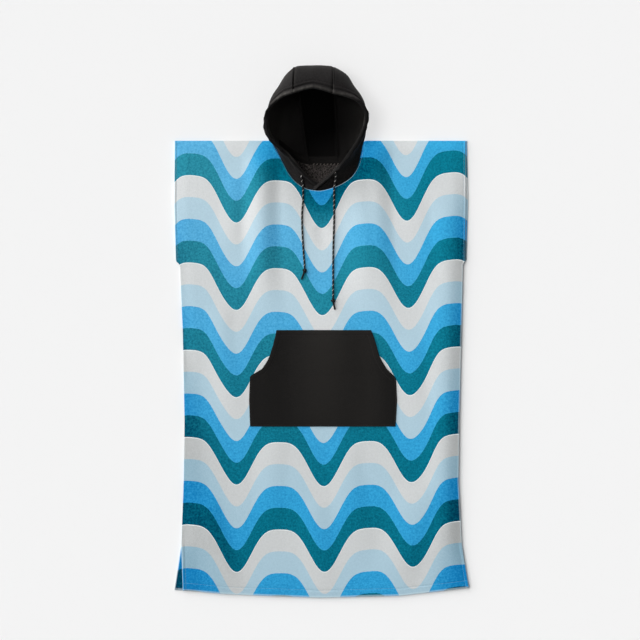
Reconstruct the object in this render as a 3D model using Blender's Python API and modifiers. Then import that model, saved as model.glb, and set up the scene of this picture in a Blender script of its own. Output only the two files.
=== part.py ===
"""Hooded bath poncho, laid on its back with the hood propped open.

Two rectangular towelling panels lie on each other and meet at the shoulders and sides. A hood of three
panels stands open behind the neck, a kangaroo pocket lies on the front, and the two ends of the hood's
drawcord hang down the chest. +X is the viewer's right, +Y runs from the hem to the hood, +Z is up, and
the origin is the middle of the underside. Sizes below are in millimetres.
"""

import bpy
import numpy as np

MM = 0.001
ORIGIN = (-0.7, -3.7, 0.0)  # middle of the whole underside, in the tables' own x and y

# Cloth and gaps
PANEL_WALL = 3.0
HOOD_WALL = 2.5
POCKET_WALL = 2.5
TRIM_WALL = 1.0
SEAM_GAP = 0.3
SEAM_SETBACK = 0.6  # each piece stands this far back from a sewn line

# Body: half of its nominal width, and the line of the shoulder seams
HALF_WIDTH = 357.5
SHOULDER_Y = 467.0

# Side edges of the front panel from the shoulder down to the hem: the armholes end at y 168 and the
# side slits start at y -523
FRONT_SIDES = (
    # y, left x, right x
    (467.0, -360.5, 351.5),
    (320.0, -362.0, 352.5),
    (172.0, -358.0, 350.5),
    (164.0, -348.0, 345.5),
    (4.0, -341.0, 342.0),
    (-217.0, -336.5, 336.5),
    (-364.0, -338.5, 334.5),
    (-523.0, -344.5, 343.0),
    (-640.0, -340.5, 362.5),
)

# Side edges of the back panel: it shows past the front at the right armhole and at the left slit
BACK_SIDES = (
    # y, left x, right x
    (467.0, -360.5, 355.0),
    (320.0, -362.0, 358.0),
    (172.0, -358.0, 354.0),
    (164.0, -348.0, 345.5),
    (4.0, -341.0, 342.0),
    (-217.0, -336.5, 336.5),
    (-364.0, -338.5, 334.5),
    (-523.0, -344.5, 343.0),
    (-640.0, -362.5, 341.0),
)

FRONT_HEM = (
    # x, y
    (-343.0, -635.0),
    (-245.0, -643.0),
    (-5.0, -652.0),
    (190.0, -647.0),
    (362.0, -627.0),
)

BACK_HEM = (
    # x, y
    (-362.0, -633.0),
    (-245.0, -639.0),
    (-5.0, -646.0),
    (190.0, -641.0),
    (341.0, -628.0),
)

# Neck opening, from its left end on the shoulder to its right end
FRONT_NECK = (
    # x, y
    (-125.0, 467.0),
    (-115.0, 446.0),
    (-105.0, 429.5),
    (-94.5, 410.0),
    (-85.0, 391.5),
    (-72.0, 373.5),
    (-56.5, 359.5),
    (-39.0, 350.0),
    (-19.5, 345.5),
    (0.0, 345.0),
    (32.0, 354.0),
    (56.5, 366.0),
    (73.5, 379.0),
    (88.0, 400.0),
    (96.5, 424.5),
    (101.5, 447.0),
    (104.0, 467.0),
)

BACK_NECK = (
    # x, y
    (-125.0, 467.0),
    (-104.0, 455.0),
    (-80.0, 437.0),
    (-56.0, 421.5),
    (-32.5, 415.0),
    (3.0, 414.0),
    (39.0, 415.0),
    (52.0, 421.0),
    (68.0, 435.0),
    (86.0, 453.0),
    (104.0, 467.0),
)

# How the front lies over the back
FRONT_BILLOW = 2.3  # air under the front panel away from its seams
SIDE_ROLL = 38.0  # width over which the front comes down to a side seam
TOP_ROLL = 26.0  # the same at the shoulder
HEM_ROLL = 30.0  # the same at the hem

# Largest soft folds of the front panel: positive lifts it, negative lets it down onto the back
FRONT_FOLDS = (
    # top x, top y, bottom x, bottom y, half width, lift
    (-115.0, 440.0, -116.0, 60.0, 22.0, -1.7),
    (108.0, 440.0, 150.0, 10.0, 24.0, -1.8),
    (-150.0, 430.0, -150.0, 40.0, 30.0, 1.0),
    (190.0, 440.0, 200.0, 60.0, 34.0, 1.1),
    (-300.0, -20.0, -305.0, -520.0, 30.0, -1.2),
)

# Panel grids: columns are crowded where the front rolls and folds, and round the neck
COLUMNS = (
    -357.5, -348.0, -336.0, -320.0, -296.0, -262.0, -228.0, -196.0, -168.0, -148.0, -135.0, -125.0,
    -120.0, -115.0, -105.0, -94.5, -85.0, -72.0, -56.5, -39.0, -19.5, 0.0, 16.0, 32.0, 45.0, 56.5,
    73.5, 88.0, 96.5, 101.5, 104.0, 114.0, 128.0, 146.0, 168.0, 196.0, 228.0, 262.0, 296.0, 320.0,
    336.0, 348.0, 357.5,
)
BACK_COLUMNS = (
    -357.5, -348.0, -296.0, -228.0, -168.0, -125.0, -120.0, -115.0, -105.0, -94.5, -85.0, -72.0, -56.5,
    -39.0, -19.5, 0.0, 16.0, 32.0, 45.0, 56.5, 73.5, 88.0, 96.5, 101.5, 104.0, 114.0, 168.0, 228.0, 296.0,
    348.0, 357.5,
)
FRONT_ROWS = (
    0.0, 0.012, 0.03, 0.07, 0.12, 0.17, 0.22, 0.267, 0.274, 0.32, 0.37, 0.42, 0.48, 0.54, 0.60, 0.66,
    0.72, 0.78, 0.84, 0.896, 0.945, 0.98, 1.0,
)
BACK_ROWS = (0.0, 0.13, 0.267, 0.274, 0.42, 0.6, 0.76, 0.896, 1.0)

# Hood: its crown curls from the brim over to the floor as half an ellipse seen from the side
CROWN_CENTRE_Y = 590.0
CROWN_REACH = 53.5
CROWN_HEIGHT = 121.0
CROWN_SHARE = 0.55  # share of the strip's length in the crown
STRIP_BRIM = (-71.5, 27.0)  # x of the strip's two seams at the brim
STRIP_NECK = (-32.5, 39.0)  # and at the back neck
STRIP_TAPER = 1.6  # above 1 the strip narrows later
BRIM_LEFT_Y = 574.0
BRIM_MIDDLE_Y = 586.0
BRIM_RIGHT_Y = 573.5

# Face opening, from the brim at the strip's seam round to the crossing under the chin
LEFT_HEM = (
    # x, y, z
    (-71.5, 574.0, 119.5),
    (-92.5, 567.5, 111.0),
    (-111.5, 554.5, 103.0),
    (-126.0, 539.5, 98.0),
    (-135.0, 514.0, 96.0),
    (-135.0, 489.0, 93.0),
    (-124.0, 467.0, 87.0),
    (-103.5, 450.5, 77.0),
    (-84.0, 433.0, 64.0),
    (-68.0, 414.0, 49.0),
    (-49.5, 393.5, 34.0),
    (-26.5, 373.0, 21.5),
    (0.0, 361.5, 14.5),
    (28.0, 359.0, 11.0),
)

RIGHT_HEM = (
    # x, y, z
    (27.0, 573.5, 119.5),
    (55.5, 567.0, 115.5),
    (82.0, 557.0, 111.0),
    (98.5, 542.0, 107.0),
    (107.5, 521.0, 103.0),
    (104.0, 495.0, 99.0),
    (89.5, 464.5, 87.0),
    (70.5, 438.5, 70.0),
    (52.5, 417.5, 54.0),
    (33.0, 398.5, 40.0),
    (7.5, 375.0, 29.0),
    (-20.0, 353.0, 20.0),
)

# Bottom edge: height along the front neck seam, then the turn at the shoulder point on to the back neck
LEFT_SEAM_HEIGHT = (
    # x, z
    (28.0, 8.3),
    (-30.0, 8.0),
    (-105.0, 7.5),
)

RIGHT_SEAM_HEIGHT = (
    # x, z
    (-20.0, 14.5),
    (30.0, 13.5),
    (55.0, 9.0),
    (78.0, 8.9),
    (100.0, 7.5),
)

LEFT_TURN = (
    # x, y, z
    (-112.5, 449.0, 6.8),
    (-114.5, 457.0, 5.5),
    (-108.5, 459.5, 4.0),
    (-99.0, 454.0, 1.8),
)

RIGHT_TURN = (
    # x, y, z
    (98.0, 449.0, 6.8),
    (96.0, 457.0, 5.5),
    (90.0, 459.0, 4.0),
    (82.0, 452.5, 1.8),
)

HOOD_ALONG = 23  # cells along the hem
CROWN_CELLS = 8  # cells from the hem round the crown
LEVEL_CELLS = 4  # and on to the back neck
STRIP_ACROSS = 4
HOOD_DROP = 1.9  # above 1 the side walls fall steeply from the hem and level out below
CROWN_FADE = 2.8  # above 1 the crown's overhang dies out sooner towards the sides
NECK_SETBACK = 1.8  # the hood's bottom edge stands this far inside the neck seam

# Half-moon facing inside the back neck, and the tape over the neck seam
FACING_ENDS = (-76.0, 78.0)  # x of its two corners
FACING_DROP = 4.0  # its top edge below the neck seam
FACING_DEPTH = 88.0
FACING_END_DEPTH = 8.0
TAPE_ENDS = (-84.0, 64.0)
TAPE_DROP = 2.5
TAPE_WIDTH = 17.0

# Pocket outline from its top edge down: slanted hand openings above, upright sewn sides below
POCKET_SIDES = (
    # y, left x, right x
    (3.5, -111.5, 120.0),
    (-13.5, -115.0, 127.0),
    (-33.0, -120.0, 133.0),
    (-57.5, -127.5, 139.5),
    (-75.0, -135.5, 148.0),
    (-91.5, -147.0, 158.5),
    (-109.0, -176.0, 176.5),
    (-115.0, -176.5, 181.0),
    (-167.5, -178.5, 183.5),
    (-232.5, -176.0, 180.0),
)
POCKET_CELLS_ACROSS = 10
POCKET_BULGE = 2.6  # room for air under the middle of the pocket
POCKET_LIFT = 0.4  # share of it at the hand openings

# Drawcord: its two ends come out of the hood's hem and hang down the chest
CORD_DIAMETER = 4.5
CORD_SPACING = 2.6  # diameters between the points of its line
KNOT_DIAMETER = 11.0
KNOT_LENGTH = 13.0
TAIL_LENGTH = 16.0
KNOT_SIDES = 12

LEFT_CORD = (
    # x, y, z
    (-50.3, 378.6, 20.2),
    (-49.7, 372.0, 15.7),
    (-48.4, 366.0, 13.7),
    (-47.3, 358.0, 12.0),
    (-46.5, 346.0, 11.5),
    (-46.5, 322.0, 11.3),
    (-48.5, 295.0, 11.3),
    (-49.0, 268.0, 11.3),
    (-48.0, 240.0, 11.3),
    (-46.5, 212.0, 11.3),
    (-45.0, 184.0, 11.4),
    (-44.0, 168.0, 12.2),
    (-44.0, 155.0, 14.4),
)

RIGHT_CORD = (
    # x, y, z
    (34.1, 386.5, 31.7),
    (33.8, 379.6, 25.4),
    (33.0, 371.9, 21.1),
    (31.8, 364.1, 18.5),
    (30.2, 355.5, 17.3),
    (29.5, 346.0, 13.5),
    (29.5, 335.0, 11.7),
    (29.5, 322.0, 11.3),
    (29.5, 303.0, 11.3),
    (29.5, 273.0, 11.3),
    (28.5, 240.0, 11.3),
    (27.5, 205.0, 11.3),
    (27.0, 170.0, 11.3),
    (27.0, 130.0, 11.3),
    (27.0, 96.0, 12.2),
    (27.0, 82.0, 14.4),
)

# Worked out from the sizes above
BACK_NECK_MIDDLE_Y = BACK_NECK[5][1]
POCKET_TOP_Y = POCKET_SIDES[0][0]
POCKET_BOTTOM_Y = POCKET_SIDES[-1][0]
POCKET_OPEN_SHARE = (POCKET_TOP_Y - POCKET_SIDES[6][0]) / (POCKET_TOP_Y - POCKET_BOTTOM_Y)

COLLECTION = "hooded_bath_poncho"


# ---------------------------------------------------------------- curves and tables


def column(table, number):
    """One column of a table as an array."""
    return np.array([row[number] for row in table], dtype=float)


def read_table(table, key, result, at):
    """Value in the result column where the key column is `at`, straight between rows."""
    keys = column(table, key)
    values = column(table, result)
    order = np.argsort(keys)
    return np.interp(at, keys[order], values[order])


def smooth_curve(points, count):
    """`count` points evenly spaced along a smooth curve through the given points.

    Between two given points the curve is the Catmull-Rom cubic, whose slope at each point is half the
    step from the point before to the point after.
    """
    given = np.array(points, dtype=float)
    padded = np.vstack([2 * given[0] - given[1], given, 2 * given[-1] - given[-2]])
    fine = 24
    t = np.linspace(0.0, 1.0, fine, endpoint=False)[:, None]
    pieces = []
    for before, start, end, after in zip(padded, padded[1:], padded[2:], padded[3:]):
        linear = end - before
        square = 2 * before - 5 * start + 4 * end - after
        cubic = 3 * (start - end) + after - before
        pieces.append(start + 0.5 * (linear * t + square * t**2 + cubic * t**3))
    dense = np.vstack(pieces + [given[-1:]])
    steps = np.linalg.norm(np.diff(dense, axis=0), axis=1)
    reach = np.concatenate([[0.0], np.cumsum(steps)])
    wanted = np.linspace(0.0, reach[-1], count)
    return np.stack([np.interp(wanted, reach, dense[:, axis]) for axis in range(3)], axis=1)


def in_frame(points):
    """Points of the tables, in metres from the middle of the underside."""
    return (np.array(points) - ORIGIN) * MM


def soft_step(value):
    """0 below 0, 1 above 1, and a smooth rise between."""
    t = np.clip(value, 0.0, 1.0)
    return t * t * (3.0 - 2.0 * t)


# ---------------------------------------------------------------- meshes


def add_object(name, mesh, material, collection):
    piece = bpy.data.objects.new(name, mesh)
    mesh.materials.append(material)
    collection.objects.link(piece)
    return piece


def grid_mesh(name, points):
    """Open surface through a grid of points [row, column, xyz] in millimetres, its faces looking up."""
    rows, columns = points.shape[:2]
    index = np.arange(rows * columns).reshape(rows, columns)
    corners = [index[:-1, :-1], index[1:, :-1], index[1:, 1:], index[:-1, 1:]]
    faces = np.stack(corners, axis=-1).reshape(-1, 4)
    mesh = bpy.data.meshes.new(name)
    mesh.from_pydata(in_frame(points).reshape(-1, 3).tolist(), [], faces.tolist())
    mesh.validate()
    return mesh


def add_cloth(name, points, wall, offset, material, collection):
    """Cloth wall on a grid of points; offset 1 builds it on the face's side, 0 about the middle."""
    mesh = grid_mesh(name, points)
    mesh.shade_smooth()
    piece = add_object(name, mesh, material, collection)
    thicken = piece.modifiers.new("cloth", "SOLIDIFY")
    thicken.thickness = wall * MM
    thicken.offset = offset
    thicken.use_even_offset = True
    thicken.use_quality_normals = True
    return piece


# ---------------------------------------------------------------- body panels


def neck_line(table, x):
    """y of the smooth neck edge at each x."""
    line = smooth_curve([(*row, 0.0) for row in table], 240)
    return np.interp(x, line[:, 0], line[:, 1])


def panel_outline(columns, rows, sides, neck, hem):
    """Grid of x and y: rows from the shoulder or neck down to the hem, columns from left to right."""
    nominal = np.array(columns)
    in_neck = (nominal > neck[0][0]) & (nominal < neck[-1][0])
    top = np.where(in_neck, neck_line(neck, nominal), SHOULDER_Y)
    bottom = read_table(hem, 0, 1, nominal)
    share = np.array(rows)[:, None]
    y = top[None, :] * (1.0 - share) + bottom[None, :] * share
    across = (nominal[None, :] + HALF_WIDTH) / (2.0 * HALF_WIDTH)
    left = read_table(sides, 0, 1, y)
    right = read_table(sides, 0, 2, y)
    near_side = soft_step((np.abs(nominal) / HALF_WIDTH - 0.35) / 0.65)[None, :]
    x = nominal[None, :] * (1.0 - near_side) + (left + (right - left) * across) * near_side
    return x, y


def front_underside(x, y):
    """Height of the front panel's underside: flat air above the back, rolled down at seams, folded."""
    left = read_table(FRONT_SIDES, 0, 1, y)
    right = read_table(FRONT_SIDES, 0, 2, y)
    from_side = np.minimum(x - left, right - x)
    hem = read_table(FRONT_HEM, 0, 1, x)
    rise = soft_step(from_side / SIDE_ROLL + 0.1)
    rise = rise * soft_step((SHOULDER_Y - y) / TOP_ROLL + 0.1)
    rise = rise * (0.35 + 0.65 * soft_step((y - hem) / HEM_ROLL))
    air = np.full(np.shape(x), FRONT_BILLOW)
    for top_x, top_y, bottom_x, bottom_y, half_width, lift in FRONT_FOLDS:
        along = np.clip((top_y - y) / (top_y - bottom_y), 0.0, 1.0)
        middle = top_x + (bottom_x - top_x) * along
        across = np.exp(-(((x - middle) / half_width) ** 2))
        fade = soft_step(4.0 * along) * soft_step(2.5 * (1.0 - along))
        air = air + lift * across * fade
    return PANEL_WALL + SEAM_GAP + np.clip(air, 0.0, None) * rise


def add_panels(materials, collection):
    back_x, back_y = panel_outline(BACK_COLUMNS, BACK_ROWS, BACK_SIDES, BACK_NECK, BACK_HEM)
    back = np.stack([back_x, back_y, np.zeros_like(back_x)], axis=-1)
    add_cloth("back_panel", back, PANEL_WALL, 1.0, materials["towelling"], collection)

    front_x, front_y = panel_outline(COLUMNS, FRONT_ROWS, FRONT_SIDES, FRONT_NECK, FRONT_HEM)
    front = np.stack([front_x, front_y, front_underside(front_x, front_y)], axis=-1)
    add_cloth("front_panel", front, PANEL_WALL, 1.0, materials["towelling"], collection)


# ---------------------------------------------------------------- hood


def strip_profile(share, brim_y):
    """Centre strip's path from the brim (share 0) over the crown, down and along the floor to the neck.

    The crown is half an ellipse, from the brim's angle over the top to straight down, and the rest is
    level. Each part is walked at an even pace.
    """
    low = HOOD_WALL / 2.0
    half_height = (CROWN_HEIGHT - 2.0 * low) / 2.0
    start = np.arccos(np.clip((brim_y - CROWN_CENTRE_Y) / CROWN_REACH, -1.0, 1.0))
    angle = start - (np.pi / 2.0 + start) * np.clip(share / CROWN_SHARE, 0.0, 1.0)
    level = np.clip((share - CROWN_SHARE) / (1.0 - CROWN_SHARE), 0.0, 1.0)
    y = CROWN_CENTRE_Y + CROWN_REACH * np.cos(angle) * (share < CROWN_SHARE)
    y = y + (BACK_NECK_MIDDLE_Y + NECK_SETBACK - CROWN_CENTRE_Y) * level
    z = low + half_height * (1.0 + np.sin(angle))
    return y, z


def strip_grid(along, across, setback):
    """Centre strip's surface: `along` runs from brim to neck and `across` from left seam to right."""
    narrowed = along**STRIP_TAPER
    left = STRIP_BRIM[0] + (STRIP_NECK[0] - STRIP_BRIM[0]) * narrowed + setback
    right = STRIP_BRIM[1] + (STRIP_NECK[1] - STRIP_BRIM[1]) * narrowed - setback
    x = left[:, None] + (right - left)[:, None] * across[None, :]
    side = BRIM_LEFT_Y + (BRIM_RIGHT_Y - BRIM_LEFT_Y) * across
    arch = 4.0 * across * (1.0 - across)
    brim = side + (BRIM_MIDDLE_Y - (BRIM_LEFT_Y + BRIM_RIGHT_Y) / 2.0) * arch
    y, z = strip_profile(along[:, None], brim[None, :])
    return np.stack([x, y, z], axis=-1)


def hood_steps():
    """Shares of the way from the hem to the back neck, the same on all three panels."""
    crown = np.linspace(0.0, CROWN_SHARE, CROWN_CELLS + 1)
    level = np.linspace(CROWN_SHARE, 1.0, LEVEL_CELLS + 1)
    return np.concatenate([crown, level[1:]])


def hood_side_surface(hem, bottom, seam, steps):
    """Surface [hem to bottom edge, crossing to strip] of a side panel.

    It blends from the hem to the bottom edge, and adds the strip seam's own curl: how far the seam lies
    from the same blend between its ends, fading from the strip towards the crossing. Heights fall faster
    than the plan does, so the wall stands steep under the hem and levels out below.
    """
    to_hem = (1.0 - steps)[:, None, None] ** np.array([1.0, 1.0, HOOD_DROP])
    near_strip = np.linspace(0.0, 1.0, len(hem))[None, :, None] ** CROWN_FADE
    curl = seam[:, None] - to_hem * hem[-1] - (1.0 - to_hem) * bottom[-1]
    return to_hem * hem[None] + (1.0 - to_hem) * bottom[None] + near_strip * curl


def between(table, start_x, end_x, outward):
    """x of the rows well between two places, from the middle of the neck outwards."""
    clear = 4.0
    low = start_x * outward + clear
    high = end_x * outward - clear
    found = [row[0] for row in table if low < row[0] * outward < high]
    return sorted(found, key=lambda x: x * outward)


def bottom_edge(side):
    """Route of a side panel's bottom edge: front neck seam, turn at the shoulder, back neck seam."""
    outward = (-1.0, 1.0)[side]
    heights = (LEFT_SEAM_HEIGHT, RIGHT_SEAM_HEIGHT)[side]
    turn = (LEFT_TURN, RIGHT_TURN)[side]
    start_x = heights[0][0]
    front = [start_x] + between(FRONT_NECK, start_x, turn[0][0], outward)
    middle = np.array([(STRIP_NECK[0] + STRIP_NECK[1]) / 2.0, SHOULDER_Y])
    points = []
    for x in front:
        on_seam = np.array([x, float(neck_line(FRONT_NECK, x))])
        inward = (middle - on_seam) / np.linalg.norm(middle - on_seam)
        points.append((*(on_seam + inward * NECK_SETBACK), float(read_table(heights, 0, 1, x))))
    points.extend(turn)
    back = between(BACK_NECK, STRIP_NECK[side], turn[-1][0], outward)[::-1]
    back.append(STRIP_NECK[side] + outward * SEAM_SETBACK)
    for x in back:
        points.append((x, float(neck_line(BACK_NECK, x)) + NECK_SETBACK, HOOD_WALL / 2.0))
    return points


def side_panel(side):
    """Grid of points of one side panel of the hood; side is 0 on the left and 1 on the right."""
    hem_table = (LEFT_HEM, RIGHT_HEM)[side]
    outward = (-1.0, 1.0)[side]
    steps = hood_steps()
    seam = strip_grid(steps, np.array([0.0, 1.0]), 0.0)[:, side]
    seam[:, 0] += outward * SEAM_SETBACK
    hem = smooth_curve(hem_table[::-1], HOOD_ALONG + 1)
    bottom = smooth_curve(bottom_edge(side), HOOD_ALONG + 1)
    hem[-1] = seam[0]
    bottom[-1] = seam[-1]
    points = hood_side_surface(hem, bottom, seam, steps)
    points[..., 2] = np.maximum(points[..., 2], HOOD_WALL / 2.0)
    return points


def add_hood(materials, collection):
    across = np.linspace(0.0, 1.0, STRIP_ACROSS + 1)
    strip = strip_grid(hood_steps(), across, SEAM_SETBACK)
    add_cloth("hood_centre", strip, HOOD_WALL, 0.0, materials["black_knit"], collection)
    add_cloth("hood_left", side_panel(0), HOOD_WALL, 0.0, materials["black_knit"], collection)
    add_cloth("hood_right", side_panel(1)[:, ::-1], HOOD_WALL, 0.0, materials["black_knit"], collection)


# ---------------------------------------------------------------- neck trim and pocket


def band_grid(x, top, bottom, rows, z):
    """Level band between a top and a bottom edge, both given at each x."""
    share = np.linspace(0.0, 1.0, rows)[:, None]
    y = top[None, :] * (1.0 - share) + bottom[None, :] * share
    return np.stack([np.broadcast_to(x, y.shape), y, np.full_like(y, z)], axis=-1)


def add_neck_trim(materials, collection):
    on_back = PANEL_WALL + SEAM_GAP
    left, right = FACING_ENDS
    angle = np.linspace(np.pi, 0.0, 15)
    x = (left + right) / 2.0 + (right - left) / 2.0 * np.cos(angle)
    top = neck_line(BACK_NECK, x) - FACING_DROP
    middle_top = BACK_NECK_MIDDLE_Y - FACING_DROP
    bottom = middle_top - FACING_END_DEPTH - (FACING_DEPTH - FACING_END_DEPTH) * np.sin(angle)
    bottom = np.minimum(bottom, top - FACING_END_DEPTH)
    facing = band_grid(x, top, bottom, 5, on_back)
    add_cloth("neck_facing", facing, TRIM_WALL, 1.0, materials["grey_knit"], collection)

    x = np.linspace(*TAPE_ENDS, 13)
    bottom = neck_line(BACK_NECK, x) - TAPE_DROP
    tape = band_grid(x, bottom + TAPE_WIDTH, bottom, 3, on_back)
    add_cloth("neck_tape", tape, TRIM_WALL, 1.0, materials["black_tape"], collection)


def add_pocket(materials, collection):
    """Pocket made from the front panel's own points moved out, with a little air in the middle."""
    y = column(POCKET_SIDES, 0)[:, None]
    left = column(POCKET_SIDES, 1)[:, None]
    right = column(POCKET_SIDES, 2)[:, None]
    across = np.linspace(0.0, 1.0, POCKET_CELLS_ACROSS + 1)[None, :]
    x = left + (right - left) * across
    y = np.broadcast_to(y, x.shape)
    down = (POCKET_TOP_Y - y) / (POCKET_TOP_Y - POCKET_BOTTOM_Y)
    open_side = POCKET_LIFT * np.sin(np.pi * np.clip(down / POCKET_OPEN_SHARE, 0.0, 1.0))
    bulge = np.sqrt(np.sin(np.pi * down).clip(0.0)) * np.sin(np.pi * across)
    air = POCKET_BULGE * np.maximum(bulge, open_side)
    z = front_underside(x, y) + PANEL_WALL + SEAM_GAP + air
    points = np.stack([x, y, z], axis=-1)
    add_cloth("pocket", points, POCKET_WALL, 1.0, materials["black_knit"], collection)


# ---------------------------------------------------------------- drawcord


def add_cord(name, route, materials, collection):
    """Round cord through a smooth curve on its route."""
    steps = np.linalg.norm(np.diff(np.array(route), axis=0), axis=1)
    count = round(steps.sum() / (CORD_SPACING * CORD_DIAMETER)) + 1
    points = in_frame(smooth_curve(route, count))
    curve = bpy.data.curves.new(name, "CURVE")
    curve.dimensions = "3D"
    curve.bevel_depth = CORD_DIAMETER / 2.0 * MM
    curve.bevel_resolution = 2
    curve.use_fill_caps = True
    spline = curve.splines.new("POLY")
    spline.points.add(len(points) - 1)
    for point, place in zip(spline.points, points):
        point.co = (*place, 1.0)
    cord = bpy.data.objects.new(name, curve)
    curve.materials.append(materials["black_cord"])
    collection.objects.link(cord)


def add_knot(name, route, swing, materials, collection):
    """Overhand knot with its short tail just past the cord's end, the tail swung by some degrees."""
    cord_radius = CORD_DIAMETER / 2.0
    angles = np.linspace(0.0, np.pi, 8)
    radii = KNOT_DIAMETER / 2.0 * np.sin(angles)
    heights = KNOT_LENGTH / 2.0 * np.cos(angles)
    ball = [(r, z) for r, z in zip(radii, heights) if r > cord_radius or z > 0.0]
    tail_end = -KNOT_LENGTH / 2.0 - TAIL_LENGTH
    profile = ball + [(cord_radius, -KNOT_LENGTH / 2.0), (cord_radius, tail_end), (0.0, tail_end)]
    profile[0] = (0.0, KNOT_LENGTH / 2.0)

    mesh = bpy.data.meshes.new(name)
    points = [(r * MM, 0.0, z * MM) for r, z in profile]
    edges = [(i, i + 1) for i in range(len(points) - 1)]
    mesh.from_pydata(points, edges, [])
    knot = add_object(name, mesh, materials["black_cord"], collection)
    turn = knot.modifiers.new("turn", "SCREW")
    turn.axis = "Z"
    turn.steps = KNOT_SIDES
    turn.render_steps = KNOT_SIDES
    turn.use_merge_vertices = True
    turn.merge_threshold = 0.00001
    end = np.array(route[-1])
    knot.location = in_frame(end - (0.0, SEAM_GAP + KNOT_LENGTH / 2.0, 0.0))
    knot.rotation_euler = (-np.pi / 2.0, 0.0, np.radians(swing))


def add_drawcord(materials, collection):
    for side, route, swing in (("left", LEFT_CORD, -6.0), ("right", RIGHT_CORD, 8.0)):
        add_cord(f"drawcord_{side}", route, materials, collection)
        add_knot(f"drawcord_{side}_knot", route, swing, materials, collection)


# ---------------------------------------------------------------- run


def make_material(name, colour, roughness):
    material = bpy.data.materials.new(name)
    material.use_nodes = True
    shader = material.node_tree.nodes["Principled BSDF"]
    shader.inputs["Base Color"].default_value = (*colour, 1.0)
    shader.inputs["Roughness"].default_value = roughness
    shader.inputs["Metallic"].default_value = 0.0
    return material


def main():
    for old in list(bpy.data.objects):
        bpy.data.objects.remove(old, do_unlink=True)
    collection = bpy.data.collections.new(COLLECTION)
    bpy.context.scene.collection.children.link(collection)
    materials = {
        "towelling": make_material("towelling", (0.20, 0.45, 0.62), 0.95),
        "black_knit": make_material("black_knit", (0.010, 0.009, 0.009), 0.8),
        "black_tape": make_material("black_tape", (0.012, 0.011, 0.011), 0.8),
        "grey_knit": make_material("grey_knit", (0.035, 0.032, 0.034), 0.9),
        "black_cord": make_material("black_cord", (0.012, 0.012, 0.012), 0.7),
    }
    add_panels(materials, collection)
    add_hood(materials, collection)
    add_neck_trim(materials, collection)
    add_pocket(materials, collection)
    add_drawcord(materials, collection)


main()
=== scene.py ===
# %% [markdown]
# # A hooded bath poncho, laid flat
# A changing poncho is two rectangles of towelling sewn at the shoulders and sides, with a jersey hood and a
# kangaroo pocket. This lesson dresses its plain solids: every piece of cloth becomes a thin closed wall worked out
# with numpy on the form of its solid, with the folds, hems and stitches laid on one by one.

import bpy
import numpy as np
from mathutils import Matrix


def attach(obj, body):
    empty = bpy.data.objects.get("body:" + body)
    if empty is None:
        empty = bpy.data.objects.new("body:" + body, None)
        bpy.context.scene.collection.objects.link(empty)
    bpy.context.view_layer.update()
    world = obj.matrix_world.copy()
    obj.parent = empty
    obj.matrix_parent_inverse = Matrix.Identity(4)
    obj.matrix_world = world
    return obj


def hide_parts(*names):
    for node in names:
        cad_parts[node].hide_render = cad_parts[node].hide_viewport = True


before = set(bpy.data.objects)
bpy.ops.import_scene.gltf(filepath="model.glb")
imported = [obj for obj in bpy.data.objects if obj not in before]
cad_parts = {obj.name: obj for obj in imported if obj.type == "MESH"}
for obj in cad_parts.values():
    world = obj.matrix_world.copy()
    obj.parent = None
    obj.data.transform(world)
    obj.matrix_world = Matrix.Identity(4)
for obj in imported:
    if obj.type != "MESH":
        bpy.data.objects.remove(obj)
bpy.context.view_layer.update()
print("solids:", sorted(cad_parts))

# %% [markdown]
# ## Camera
# The garment lies on the floor and is seen from straight above through a long lens, so its edges stay nearly
# parallel and only the raised hood shows its height. An orthographic camera would lose even that.

# %% Camera
SENSOR = 36.0
EYE_HEIGHT = 8.0
FLOOR_ACROSS = 1.568  # metres of floor from one side of the picture to the other
EYE = (-0.0042, 0.0319)

lens = bpy.data.cameras.new("camera")
lens.sensor_width = SENSOR
lens.lens = SENSOR * EYE_HEIGHT / FLOOR_ACROSS
camera = bpy.data.objects.new("camera", lens)
camera.location = (*EYE, EYE_HEIGHT)
bpy.context.scene.collection.objects.link(camera)
bpy.context.scene.camera = camera
print(f"camera: {lens.lens:.0f} mm lens, {EYE_HEIGHT} m above the floor")

# %% [markdown]
# ## Sizes and smooth curves
# Patterns for clothes are drawn through a few measured points. The tables below are such points, in millimetres
# from the pattern's own zero, and a Catmull-Rom curve joins them: it passes through every point and never kinks.
# Lengths on the pattern are in millimetres. The camera, the floor, the textures and the flat sizes of the cuts are
# in metres.

# %% Curves through measured points
MM = 0.001
ORIGIN = np.array([-0.7, -3.7, 0.0])  # middle of the whole underside on the pattern


def in_frame(points):
    """Pattern points in millimetres to metres from the middle of the underside."""
    return (np.asarray(points, dtype=float) - ORIGIN) * MM


def column(table, number):
    """One column of a table as an array."""
    return np.array([row[number] for row in table], dtype=float)


def read_table(table, key, result, at):
    """Value in the result column where the key column is `at`, straight between rows."""
    keys = column(table, key)
    order = np.argsort(keys)
    return np.interp(at, keys[order], column(table, result)[order])


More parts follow.
